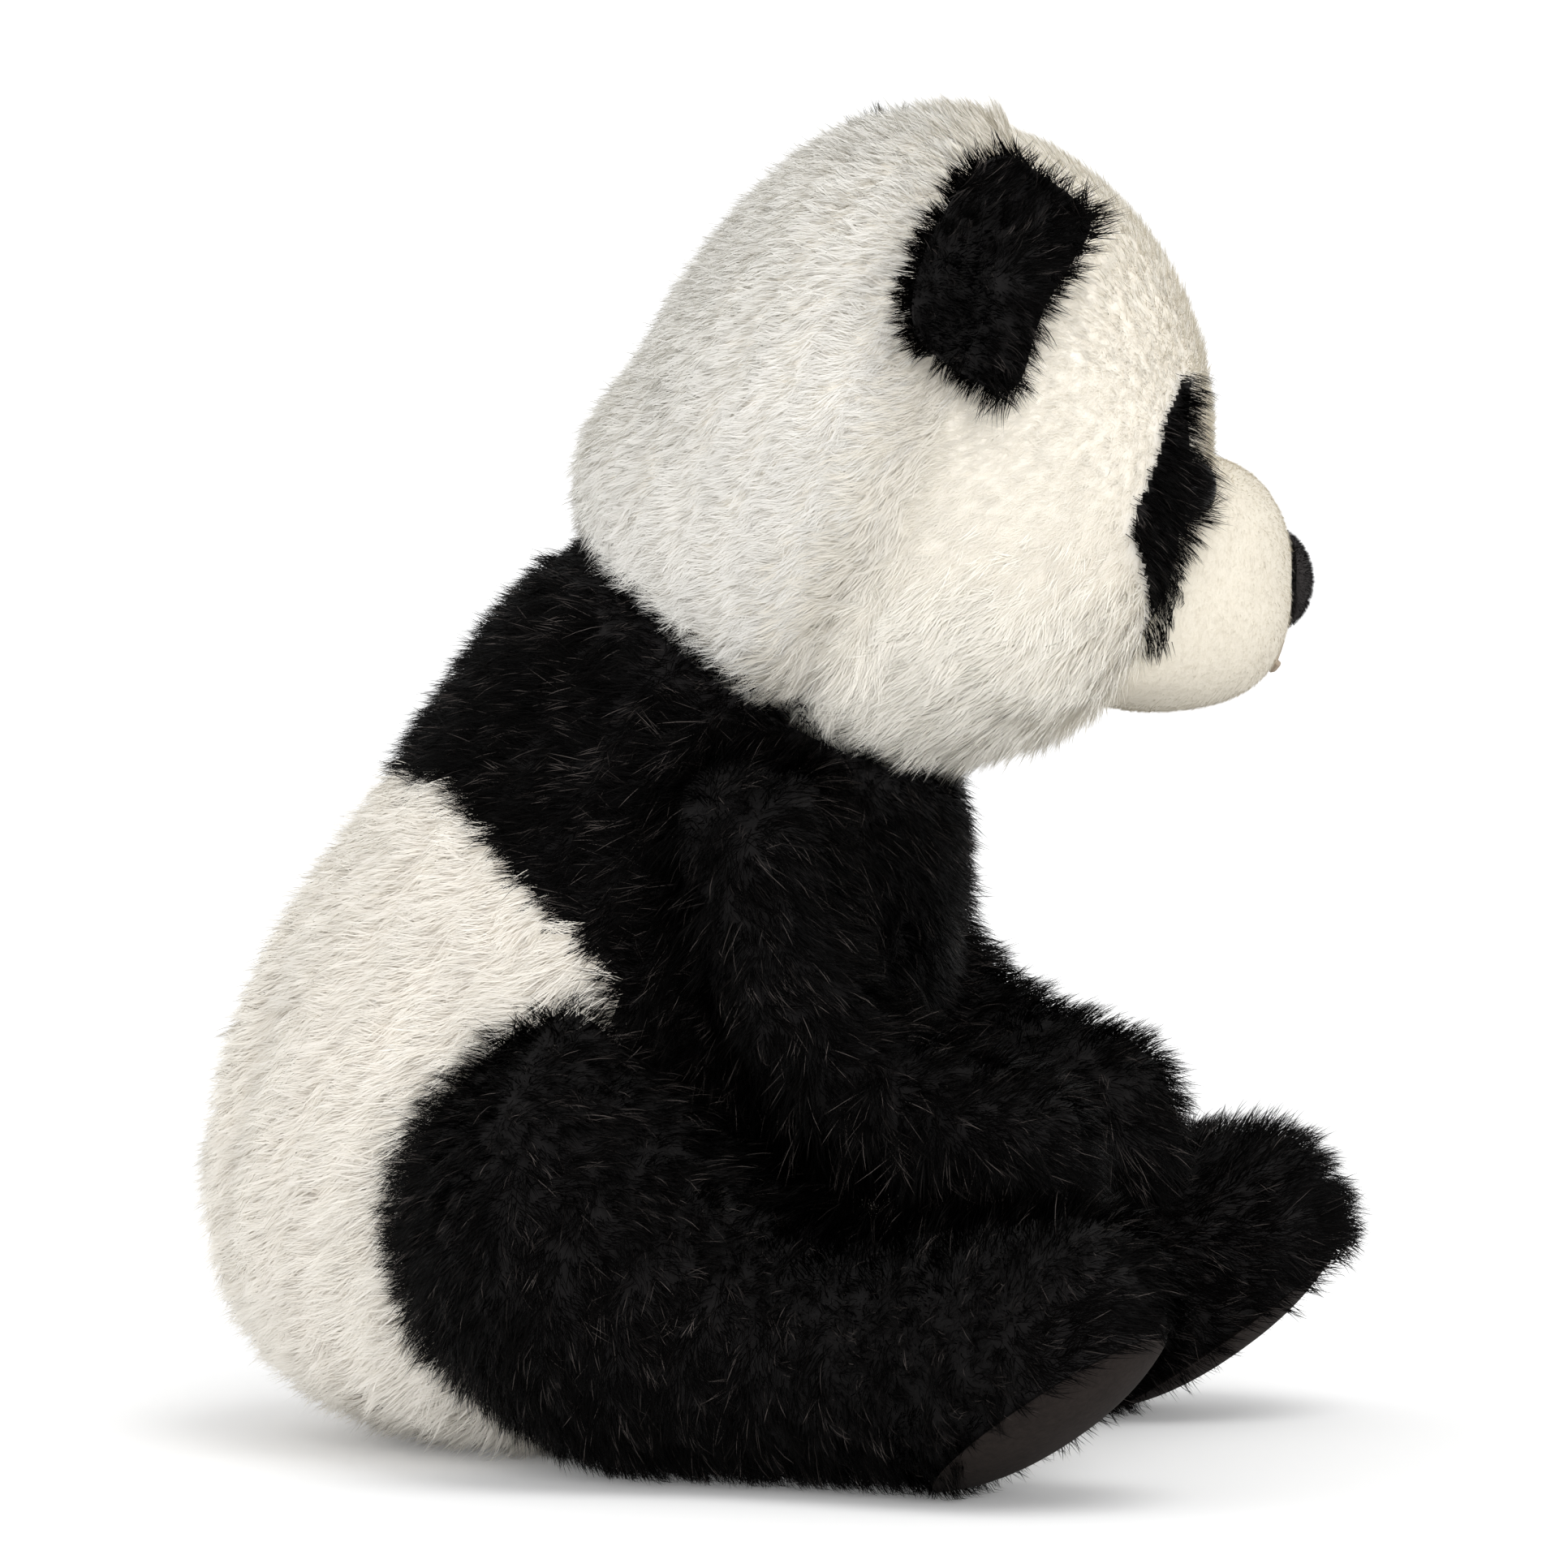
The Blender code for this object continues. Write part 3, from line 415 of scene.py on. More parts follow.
def read(items, name, kind=np.float32):
    """Rows of three values."""
    values = np.empty(len(items) * 3, kind)
    items.foreach_get(name, values)
    return values.reshape(-1, 3).astype(float if kind == np.float32 else kind)


def place(mesh, points):
    write(mesh.vertices, "co", points)
    mesh.update()


def write(items, name, values):
    items.foreach_set(name, np.ascontiguousarray(values, np.float32).ravel())


def add_object(name, data, *materials):
    data.name = name
    item = bpy.data.objects.new(name, data)
    bpy.context.scene.collection.objects.link(item)
    for material in materials:
        data.materials.append(material)
    return item


def carve(item, cutters):
    """Takes each cutter's closed mesh away from the piece."""
    for mesh in cutters:
        tool = add_object("tool", mesh)
        modifier = item.modifiers.new("carve", "BOOLEAN")
        modifier.operation, modifier.solver, modifier.object = "DIFFERENCE", "MANIFOLD", tool
        bpy.context.view_layer.update()
        made = item.evaluated_get(bpy.context.evaluated_depsgraph_get())
        mesh_before = item.data
        carved = bpy.data.meshes.new_from_object(made)
        item.modifiers.clear()
        item.data = carved
        carved.name = item.name
        bpy.data.meshes.remove(mesh_before)
        bpy.data.objects.remove(tool)
    item.data.shade_smooth()
    return item


# Materials


def nodes_of(name, roughness, specular):
    material = bpy.data.materials.new(name)
    material.use_nodes = True
    tree = material.node_tree
    shader = tree.nodes["Principled BSDF"]
    shader.inputs["Roughness"].default_value = roughness
    shader.inputs["Specular IOR Level"].default_value = specular
    return material, tree, shader


def add_node(tree, kind, operation=None, second=None, **values):
    """A shader node, with its second input or those named set (_ for a space)."""
    node = tree.nodes.new("ShaderNode" + kind)
    if operation:
        node.operation = operation
    if second is not None:
        node.inputs[1].default_value = second
    for name, value in values.items():
        node.inputs[name.replace("_", " ")].default_value = value
    return node


def noise_node(tree, **values):
    """Noise that stays with the object."""
    noise = add_node(tree, "TexNoise", **values)
    tree.links.new(add_node(tree, "TexCoord").outputs["Object"], noise.inputs["Vector"])
    return noise


def ramp_node(tree, stops):
    ramp = add_node(tree, "ValToRGB")
    while len(ramp.color_ramp.elements) < len(stops):
        ramp.color_ramp.elements.new(0.5)
    for element, (place, colour) in zip(ramp.color_ramp.elements, stops):
        element.position = place
        element.color = (*colour, 1)
    return ramp


# The brightest strand's share of its fur's colour, because a ramp ends at 1; the brightest strands
# are the black fur's painted glints
BRIGHTEST = 8
CLOUDY_LOW, CLOUDY_HIGH = 0.97, 1.03
NAP_SHARE, MOTTLE_SHARE, MOTTLE_SIZE = 0.6, 0.4, 14


def fur(name, root, middle, tip, strands, roughness, specular):
    """Fur that changes from root to tip, darker at the root as painted shade deep in the pile,
    from strand to strand, with painted glints on the dark fur's brightest strands, and in soft
    large patches.
    """
    material, tree, shader = nodes_of(name, roughness, specular)
    links = tree.links.new
    strand = add_node(tree, "UVMap")
    strand.uv_map = "Strand"
    split = add_node(tree, "SeparateXYZ")
    links(strand.outputs["UV"], split.inputs[0])
    # Darker at the root: painted shade deep in the pile
    along = ramp_node(tree, ((0.0, root), (0.5, middle), (1.0, tip)))
    links(split.outputs["Y"], along.inputs["Fac"])
    # Each strand's brightness by its draw; the dark fur's brightest strands are painted glints
    chance = ramp_node(tree, [(at, (bright / BRIGHTEST,) * 3) for at, bright in strands])
    links(split.outputs["X"], chance.inputs["Fac"])
    patches = noise_node(tree, Scale=60, Detail=3)
    cloudy = add_node(
        tree, "MapRange", From_Min=0.3, From_Max=0.7,
        To_Min=BRIGHTEST * CLOUDY_LOW, To_Max=BRIGHTEST * CLOUDY_HIGH,
    )
    links(patches.outputs["Fac"], cloudy.inputs["Value"])
    shade = add_node(tree, "VectorMath", "SCALE")
    links(chance.outputs["Color"], shade.inputs[0])
    links(cloudy.outputs["Result"], shade.inputs["Scale"])
    tinted = add_node(tree, "VectorMath", "MULTIPLY")
    links(along.outputs["Color"], tinted.inputs[0])
    links(shade.outputs["Vector"], tinted.inputs[1])
    links(tinted.outputs["Vector"], shader.inputs["Base Color"])
    return material


def cloth(name, dark, light, roughness, scale, bump, specular=0.3):
    """Backing cloth, suede, thread or plastic: mottled colour with a fine nap."""
    material, tree, shader = nodes_of(name, roughness, specular)
    links = tree.links.new
    nap = noise_node(tree, Scale=scale, Detail=6, Roughness=0.65)
    mottle = noise_node(tree, Scale=scale / MOTTLE_SIZE, Detail=3)
    part = add_node(tree, "Math", "MULTIPLY", MOTTLE_SHARE)
    links(mottle.outputs["Fac"], part.inputs[0])
    both = add_node(tree, "Math", "MULTIPLY_ADD", NAP_SHARE)
    links(nap.outputs["Fac"], both.inputs[0])
    links(part.outputs[0], both.inputs[2])
    tone = ramp_node(tree, ((0.32, dark), (0.68, light)))
    links(both.outputs[0], tone.inputs["Fac"])
    links(tone.outputs["Color"], shader.inputs["Base Color"])
    raised = add_node(tree, "Bump", Strength=0.6, Distance=bump)
    links(nap.outputs["Fac"], raised.inputs["Height"])
    links(raised.outputs["Normal"], shader.inputs["Normal"])
    return material


WHITE_CLOTH = cloth("white_backing", (0.88, 0.83, 0.74), (0.94, 0.90, 0.82), 0.95, 900, 0.0004)
BLACK_CLOTH = cloth(
    "black_backing", (0.004, 0.0035, 0.0035), (0.008, 0.007, 0.007), 0.95, 900, 0.0004
)
CREAM_CLOTH = cloth("short_pile", (0.70, 0.65, 0.55), (0.755, 0.705, 0.60), 0.95, 1400, 0.0003)
NOSE_CLOTH = cloth("nose_pile", (0.012, 0.010, 0.010), (0.028, 0.024, 0.023), 0.9, 1600, 0.0003)
SUEDE = cloth(
    "suede", (0.010, 0.0078, 0.0068), (0.026, 0.020, 0.0175), 0.9, 700, 0.0003, specular=0.1
)
THREAD = cloth("thread", (0.30, 0.24, 0.18), (0.40, 0.33, 0.26), 0.8, 2400, 0.0002)
EYE = cloth(
    "eye_plastic", (0.004, 0.003, 0.003), (0.007, 0.0055, 0.005), 0.2, 60, 0.00001, specular=0.15
)
WASHER = cloth("washer_plastic", (0.70, 0.70, 0.68), (0.78, 0.78, 0.76), 0.4, 300, 0.00005)

# How bright a strand is, by its place in the draw; the dark ramp's few brightest strands are
# painted glints
PALE = ((0.0, 0.96), (1.0, 1.01))
DARK_WITH_PAINTED_GLINTS = ((0.0, 0.04), (0.88, 0.09), (0.95, 0.6), (1.0, 6.0))
EVEN_DARK = ((0.0, 0.6), (1.0, 1.4))
# Each fur is darker at its root than at its tip: painted shade deep in the pile
FACE_FUR = fur(
    "face_fur", (0.86, 0.82, 0.73), (0.88, 0.84, 0.75), (0.90, 0.86, 0.785), PALE, 0.85, 0.05
)
# The face's cream fur written brighter for the low cheeks: painted light where the lamps reach
# less
CHEEK_FUR_PAINTED_LIGHT = fur(
    "cheek_fur", (0.95, 0.915, 0.83), (0.975, 0.94, 0.855), (0.99, 0.96, 0.885), PALE, 0.85, 0.05
)
HEAD_FUR = fur(
    "head_fur", (0.74, 0.71, 0.65), (0.90, 0.88, 0.825), (0.95, 0.935, 0.895), PALE, 0.8, 0.1
)
BODY_FUR = fur(
    "body_fur", (0.84, 0.78, 0.70), (0.97, 0.925, 0.84), (0.99, 0.955, 0.885), PALE, 0.8, 0.1
)
# Black fur, whose few brightest strands are painted glints
BLACK_FUR = fur(
    "black_fur", (0.006, 0.0053, 0.0050), (0.013, 0.0112, 0.0105), (0.020, 0.017, 0.0156),
    DARK_WITH_PAINTED_GLINTS, 0.38, 0.025,
)
MUZZLE_FUR = fur(
    "muzzle_fur", (0.73, 0.68, 0.575), (0.755, 0.705, 0.60), (0.795, 0.74, 0.64), PALE, 0.9, 0.05
)
NOSE_FUR = fur(
    "nose_fur", (0.008, 0.007, 0.007), (0.016, 0.014, 0.0135), (0.026, 0.0225, 0.022),
    EVEN_DARK, 0.7, 0.1,
)


# Fur

MOST_TRIANGLES = 190000
ROOT_DEPTH, LOWEST_END = 0.0003, 0.0004
MOST_BEND, UPRIGHT_LEAN = 1.45, 0.45
SWAY_SIZE, TILT_SIZE = 0.014, 0.012


def waved(points, seed, size):
    """A smooth wandering value, about -1 to 1, with swirls of a given size."""
    random = np.random.default_rng(seed)
    total = np.zeros(len(points))
    for share in (1.0, 0.7, 0.5):
        towards = unit(random.normal(size=3)) * 2 * pi / (size * share)
        total += share * np.sin(points @ towards + random.uniform(0, 2 * pi))
    return total / 1.4


class Pile:
    """How one cloth's fur grows: clumps to the square centimetre, strands to the clump, sizes.

    lean is the angle at root and end, soft how far a strand is shaded as its cloth, pull how far
    a clump closes. A pile without clumps takes another's places.
    """

    def __init__(
        self, clumps, strands, length, width, spread, lean, soft, pull, stray, sway, levels=4,
        upright=0.0, lift=0.0,
    ):
        self.clumps, self.strands, self.length, self.width = clumps, strands, length, width
        self.spread, self.lean, self.pull, self.stray = spread, np.radians(lean), pull, stray
        self.soft, self.sway, self.levels = soft, sway, levels
        self.upright, self.lift = upright, lift


def grow(name, points, normals, comb, pile, material, seed, longer=None):
    """Fur in as many pieces as its number of strands asks for, side by side."""
    triangles = len(points) * pile.strands * (2 * pile.levels - 3)
    order = np.argsort(points[:, 0], kind="stable")
    shares = np.array_split(order, ceil(triangles / MOST_TRIANGLES))
    pieces = []
    for number, chosen in enumerate(shares):
        own_name = name if len(shares) == 1 else f"{name}_{number + 1}"
        made = strands(points[chosen], normals[chosen], comb, pile, seed + 10 * number, longer)
        pieces.append(strand_mesh(own_name, *made, pile.width, material))
    return pieces


def cover(body, slot, *growth):
    """Fur that rides on a body."""
    for piece in grow(*growth):
        rides(piece, body)


def swung(start, end, angle):
    """A direction at an angle from one to another."""
    return start * np.cos(angle)[:, None] + end * np.sin(angle)[:, None]


def strands(points, normals, comb, pile, seed, longer):
    """Paths of strands in clumps at the points, bent over along the comb."""
    random = np.random.default_rng(seed)
    lay = comb(points)
    lay = unit(lay - normals * (lay * normals).sum(1, keepdims=True))
    across = np.cross(normals, lay)
    sway = pile.sway * waved(points, 1, SWAY_SIZE)
    sway = sway + 0.5 * pile.sway * random.normal(size=len(points))
    scale = 1 + 0.10 * random.normal(size=len(points))
    if longer is not None:
        scale = scale * longer(points)
    tilt = 1 + 0.3 * pile.sway * waved(points, 2, TILT_SIZE)
    tilt = tilt + 0.3 * pile.sway * random.normal(size=len(points))
    shown = unit(normals + (0, 0, pile.lift))
    each = np.repeat(np.arange(len(points)), pile.strands)
    count = len(each)
    ring = pile.spread * np.sqrt(random.random(count))
    angle = random.uniform(0, 2 * pi, count)
    offset = lay[each] * (ring * np.cos(angle))[:, None]
    offset = offset + across[each] * (ring * np.sin(angle))[:, None]
    heading = sway[each] + pile.stray * random.normal(size=count)
    forth = swung(lay[each], across[each], heading)
    length = pile.length * scale[each] * random.uniform(0.7, 1.1, count)
    lean = tilt[each] * (1 + 0.10 * random.normal(size=count))
    lean = np.where(random.random(count) < pile.upright, UPRIGHT_LEAN * lean, lean)
    path = np.empty((count, pile.levels, 3))
    sides, facing = np.empty((2, count, pile.levels - 1, 3))
    path[:, 0] = points[each] + offset - normals[each] * ROOT_DEPTH
    twist = random.normal(size=count) * 0.5
    low, high = pile.lean
    for level in range(1, pile.levels):
        share = (level - 0.5) / (pile.levels - 1)
        bend = np.minimum((low + (high - low) * share) * lean, MOST_BEND)
        towards = swung(normals[each], forth, bend)
        step = (length / (pile.levels - 1))[:, None]
        path[:, level] = path[:, level - 1] + towards * step - offset * pile.pull / pile.levels
        path[:, level, 2] = np.maximum(path[:, level, 2], LOWEST_END)
        flat = unit(np.cross(towards, normals[each]))
        sides[:, level - 1] = swung(flat, np.cross(flat, towards), twist)
        own = np.cross(sides[:, level - 1], towards)
        facing[:, level - 1] = unit(shown[each] * pile.soft + own * (1 - pile.soft))
    # Half the strands take their clump's draw, so that the dark fur's painted glints come in
    # bunches
    own, shared = random.random(count), random.random(len(points))[each]
    return path, sides, facing, np.where(random.random(count) < 0.5, shared, own), random


def strand_mesh(name, path, sides, facing, chance, random, width, material):
    """Tapered ribbons along the paths, shaded partly as the cloth that they grow from."""
    count, levels = path.shape[:2]
    pairs = levels - 1
    per = 2 * pairs + 1
    taper = np.linspace(1, 0.55, pairs)
    reach = width * random.uniform(0.75, 1.25, count)[:, None, None] * taper[None, :, None] / 2
    corners = np.empty((count, per, 3))
    corners[:, 0 : 2 * pairs : 2] = path[:, :pairs] - sides * reach
    corners[:, 1 : 2 * pairs : 2] = path[:, :pairs] + sides * reach
    corners[:, -1] = path[:, -1]
    loop = []
    for low in range(0, 2 * pairs - 2, 2):
        loop += [low, low + 1, low + 3, low + 2]
    loop = np.array(loop + [2 * pairs - 2, 2 * pairs - 1, 2 * pairs])
    mesh = bpy.data.meshes.new(name)
    mesh.vertices.add(count * per)
    write(mesh.vertices, "co", corners)
    mesh.loops.add(count * len(loop))
    order = (np.arange(count)[:, None] * per + loop[None]).astype(np.int32)
    mesh.loops.foreach_set("vertex_index", order.ravel())
    mesh.polygons.add(count * pairs)
    begins = np.arange(count)[:, None] * len(loop) + 4 * np.arange(pairs)[None]
    mesh.polygons.foreach_set("loop_start", begins.astype(np.int32).ravel())
    shaded = np.empty((count, per, 3))
    shaded[:, 0 : 2 * pairs : 2] = shaded[:, 1 : 2 * pairs : 2] = facing
    shaded[:, -1] = facing[:, -1]
    write(mesh.attributes.new("custom_normal", "FLOAT_VECTOR", "POINT").data, "vector", shaded)
    mesh.update(calc_edges=True)
    mesh.shade_smooth()
    strand_maps(mesh, count, loop, pairs, chance)
    return add_object(name, mesh, material)


def strand_maps(mesh, count, loop, pairs, chance):
    """Two maps: where on its strand each corner is, and a cell of its own for each strand."""
    height = np.minimum(loop // 2, pairs) / pairs
    side = np.where(loop == 2 * pairs, 0.5, loop % 2)
    strand = np.stack(np.broadcast_arrays(chance[:, None], height), 2)
    cells = ceil(sqrt(count))
    row, column = np.divmod(np.arange(count)[:, None], cells)
    own = np.stack((column + 0.15 + 0.7 * side, row + 0.1 + 0.8 * height), 2) / cells
    for name, values in (("OFBake", own), ("Strand", strand)):
        layer = mesh.uv_layers.new(name=name)
        write(layer.uv, "vector", values)


def towards(vector):
    vector = np.array(vector, float)
    return lambda points: np.broadcast_to(vector, points.shape).copy()


# Which places are which cloth


def above_yoke(points, random):
    """How far above the yoke's lower edge a place lies, with the edge's uneven fur."""
    x, y, z = points.T
    edge = np.interp(-y, *np.array(YOKE_EDGE).T)
    under_arm = rise(np.abs(x), 0.008, 0.008) * rise(-y, 0.005, 0.010)
    edge = edge + (np.minimum(edge, UNDER_ARM) - edge) * under_arm
    return z - edge + 0.0012 * random.normal(size=len(points))


def in_face(points):
    """How far in front of the seam that runs over the head from ear to ear a place lies."""
    _, y, z = HEAD.local(points).T
    along = -y * cos(FACE_SEAM_LEAN) - z * sin(FACE_SEAM_LEAN)
    return along + FACE_SEAM_BACK * cos(FACE_SEAM_LEAN)


def in_patch(points, side):
    """Below 1 in the dark patch round an eye, and 0.1 lower with each millimetre from its edge."""
    x, y, z = mirrored(HEAD.local(points), side).T
    forward = x * sin(PATCH_TURN) - y * cos(PATCH_TURN)
    height = z - PATCH_SLOPE * x
    heights, back, front = np.array(PATCH).T
    outside = np.interp(height, heights, back) - forward
    outside = np.maximum(outside, forward - np.interp(height, heights, front))
    outside = np.maximum(outside, np.maximum(heights[0] - height, height - heights[-1]))
    return np.where(x > 0, 1 + outside / 0.010, 9)


def in_patches(points):
    return np.minimum(in_patch(points, -1), in_patch(points, 1))


def head_folds(points):
    """How far the seam behind each cheek draws the head's skin in."""
    height = HEAD.local(points)[:, 2]
    return 0.0034 * np.exp(-((in_face(points) / 0.005) ** 2)) * rise(-height, -0.020, 0.03)


def body_folds(points):
    """How far the back's seam and the slack cloth beside it draw in."""
    x, y, z = points.T
    low = rise(-z, -0.125, 0.03) * rise(z, 0.012, 0.02)
    bent = 0.030 + 0.008 * np.sin((z - 0.03) / 0.030)
    slack = np.exp(-(((np.abs(x) - bent) / 0.006) ** 2))
    seam = np.exp(-((x / 0.005) ** 2))
    return rise(y, 0.045, 0.03) * (0.0045 * low * slack + 0.0020 * seam)


def hidden(points, forms, grow=0.0):
    found = np.zeros(len(points), bool)
    for form in forms:
        found |= form.inside(points, grow)
    return found


def stuff(item, body, fill, slot, *replaced):
    """A stuffed piece that rides on a body and stands for CAD nodes."""
    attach(item, body)
    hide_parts(*replaced)


def rides(item, body):
    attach(item, body)
    return item


# Kinds of fur

WHITE_PILE = Pile(40, 8, 0.0088, 0.00021, 0.0017, (44, 74), 0.9, 0.9, 0.14, 0.5, upright=0.06)
BLACK_PILE = Pile(30, 8, 0.0084, 0.00022, 0.0019, (26, 58), 0.45, 0.85, 0.2, 0.65)
HEAD_WHITE = Pile(56, 7, 0.0066, 0.00019, 0.0015, (44, 76), 0.85, 0.9, 0.14, 0.55, upright=0.06)
FACE_WHITE = Pile(None, 6, 0.0048, 0.00018, 0.0011, (62, 80), 1.0, 0, 0.4, 0.12, lift=0.35)
CHEEK_WHITE = Pile(None, 8, 0.0076, 0.00019, 0.0015, (57, 78), 1.0, 0.75, 0.2, 0.4, lift=0.5)
SEAM_WHITE = Pile(None, 9, 0.0080, 0.00019, 0.0013, (34, 68), 0.9, 1.0, 0.12, 0.5)
EAR_BLACK = Pile(32, 11, 0.0072, 0.00022, 0.0020, (16, 46), 0.45, 0.9, 0.15, 0.5)
PATCH_BLACK = Pile(50, 8, 0.0060, 0.00021, 0.0016, (15, 45), 0.45, 0.8, 0.15, 0.4)
SHORT_CREAM = Pile(90, 5, 0.0017, 0.00011, 0.0011, (50, 72), 1.0, 0, 0.5, 0.1, levels=3)
SHORT_BLACK = Pile(140, 6, 0.0013, 0.00015, 0.0008, (10, 35), 0.7, 0, 0.8, 0, levels=3)

# Fur that lies deeper than this in another piece isn't grown
BURIED = -0.006

# Body

NECK_GAP = 0.0006
# How far the black cloth goes below the yoke's edge, so that no white shows between black fur
BLACK_BELOW = 0.006


def make_body():
    skin = Skin(BODY, BODY_GRID, BODY_PILE, body_folds)
    random = draws("body")
    cup = ball(*SMALL_CUT_GRID, NECK_BALL + NECK_GAP)
    bmesh.ops.translate(cup, vec=HEAD_CENTRE, verts=cup.verts)
    piece = add_object("body_skin", skin.mesh, WHITE_CLOTH, BLACK_CLOTH)
    carve(piece, [as_mesh(cup, "neck_cup")])
    centres = read(piece.data.polygons, "center")
    black = (above_yoke(centres, random) > -BLACK_BELOW) | hidden(centres, LEGS.values(), -0.009)
    piece.data.polygons.foreach_set("material_index", black.astype(np.int32))
    stuff(
        piece, "torso", 0.8, "white_pile", "body_yoke", "body_back_right", "body_back_left",
        "body_belly", "body_seat", "body_stuffing", "pellet_pouch",
    )
    points, normals = skin.scattered(WHITE_PILE, random)
    forms = [HEAD, *LEGS.values(), *ARMS.values()]
    seen = ~hidden(points, forms, BURIED) & (points[:, 2] > 0.004)
    high = above_yoke(points, random) > 0
    comb = towards((0, 0.85, -0.5))
    for name, own, pile, material, slot in (
        ("body_fur_white", seen & ~high, WHITE_PILE, BODY_FUR, "white_pile"),
        ("body_fur_black", seen & high, BLACK_PILE, BLACK_FUR, "black_pile"),
    ):
        cover(
            "torso", slot, name, points[own], normals[own], comb, pile, material,
            FUR_SEEDS["body"], by_limbs,
        )


def by_limbs(points):
    """Longer fur where the body meets a limb, to lie over the seam, and shorter under the head."""
    limbs = hidden(points, [*LEGS.values(), *ARMS.values()], 0.004)
    return 1 + 0.5 * limbs - 0.5 * hidden(points, [HEAD], 0.006)


# Head


def make_head():
    skin = Skin(HEAD, HEAD_GRID, HEAD_PILE, head_folds)
    piece = add_object("head_skin", skin.mesh, WHITE_CLOTH, BLACK_CLOTH)
    piece.data.shade_smooth()
    black = in_patches(read(piece.data.polygons, "center")) < 0.8
    piece.data.polygons.foreach_set("material_index", black.astype(np.int32))
    stuff(
        piece, "head", 0.85, "white_pile", "face_right", "face_left", "head_back_right",
        "head_back_left", "head_stuffing",
    )
    random = draws("head")
    points, normals = skin.scattered(HEAD_WHITE, random)
    seen = ~hidden(points, [BODY, SNOUT], -0.005)
    marked = in_patches(points) + 0.05 * random.normal(size=len(points)) < 0.98
    front = in_face(points) + 0.001 * random.normal(size=len(points)) > 0
    right = HEAD.local(points)[:, 0] < 0
    back_comb = towards(turned(HEAD_PLACED, (0, 0.92, -0.38)))
    by_seam = in_face(points) + 0.004 * random.normal(size=len(points)) > -0.010
    # Low on the cheeks the fur is longer, and its colour is written brighter as painted light
    fluffy_with_painted_light = cheek(points) + 0.15 * random.normal(size=len(points)) > 0.5
    for number, (half, within) in enumerate((("right", right), ("left", ~right))):
        for name, own, comb, pile, material, longer in (
            ("head_back_fur", ~front & ~by_seam, back_comb, HEAD_WHITE, HEAD_FUR, None),
            ("seam_fur", ~front & by_seam, back_comb, SEAM_WHITE, FACE_FUR, None),
            ("face_fur", front & ~fluffy_with_painted_light, face_comb, FACE_WHITE, FACE_FUR, None),
            ("cheek_fur", front & fluffy_with_painted_light, face_comb, CHEEK_WHITE, CHEEK_FUR_PAINTED_LIGHT, cheek_length),
        ):
            own = own & seen & ~marked & within
            cover(
                "head", "white_pile", f"{name}_{half}", points[own], normals[own], comb, pile,
                material, FUR_SEEDS["head"] + number, longer,
            )


def cheek(points):
    """0 on the face and 1 low on a cheek."""
    return rise(-HEAD.local(points)[:, 2], 0.010, 0.040)


def face_comb(points):
    """The face's fur runs away from the muzzle, and down below it."""
    away = unit(HEAD.local(points) - (0, -0.062, -0.020))
    away[:, 2] -= 0.35 + 0.5 * cheek(points)
    return turned(HEAD_PLACED, away)


def cheek_length(points):
    return 0.8 + 0.35 * cheek(points)


def make_patch(side, half):
    """The dark cloth round an eye, with its fur."""
    form = Skin(HEAD, PATCH_GRID, HEAD_PILE - 0.0006)
    shell = bmesh.new()
    shell.from_mesh(form.mesh)
    shell.verts.ensure_lookup_table()
    outside = (in_patch(form.points, side) > 0.9) | hidden(form.points, [SNOUT], 0.0005)
    spare = [shell.verts[i] for i in np.flatnonzero(outside)]
    bmesh.ops.delete(shell, geom=spare, context="VERTS")
    mesh = as_mesh(shell, "eye_patch")
    piece = add_object(f"eye_patch_{half}_cloth", mesh, BLACK_CLOTH)
    solid = piece.modifiers.new("thickness", "SOLIDIFY")
    solid.thickness = 0.0008
    solid.offset = -1
    piece.data.shade_smooth()
    rides(piece, "head")
    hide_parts(f"eye_patch_{half}")
    random = draws("patch", side)
    on_head, head_normals = form.scattered(PATCH_BLACK, random)
    snout = Skin(SNOUT, SNOUT_GRID, MUZZLE_PILE)
    beside, beside_normals = snout.scattered(PATCH_BLACK, random)
    points = np.concatenate((on_head, beside))
    normals = np.concatenate((head_normals, beside_normals))
    eye = eye_place(side)[0]
    near = norm(points - eye, axis=1)
    reach = in_patch(points, side) + 0.05 * random.normal(size=len(points))
    covered = np.concatenate((hidden(on_head, [SNOUT], 0.001), hidden(beside, [HEAD], -0.004)))
    own = (reach < 0.95) & ~covered & (near > EYE_RADIUS * 0.75)
    downward = turned(HEAD_PLACED, (side * 0.25, 0.0, -0.95))

    def by_eye(places):
        return np.exp(-((norm(places - eye, axis=1) / 0.010) ** 2))[:, None]

    def comb(places):
        return downward + 1.6 * by_eye(places) * unit(eye - places)

    def round_eye(places):
        return 1 + 0.9 * by_eye(places)[:, 0]

    cover(
        "head", "black_pile", f"eye_patch_fur_{half}", points[own], normals[own], comb,
        PATCH_BLACK, BLACK_FUR, FUR_SEEDS["patch"] + side, round_eye,
    )
    bpy.data.meshes.remove(form.mesh)


def eye_place(side):
    flat = cos(EYE_DROP)
    out = (side * sin(EYE_SIDE) * flat, -cos(EYE_SIDE) * flat, -sin(EYE_DROP))
    middle, normal = HEAD.normal(out)
    place = moved(HEAD_PLACED, (middle - normal * EYE_SINK)[None])[0]
    return place, turned(HEAD_PLACED, normal)


def aim(made, place, towards_z):
    """Turns a bmesh's Z to a direction and moves it to a place."""
    turn = Vector(towards_z).to_track_quat("Z", "Y").to_matrix().to_4x4()
    bmesh.ops.transform(made, matrix=Matrix.Translation(place) @ turn, verts=made.verts)


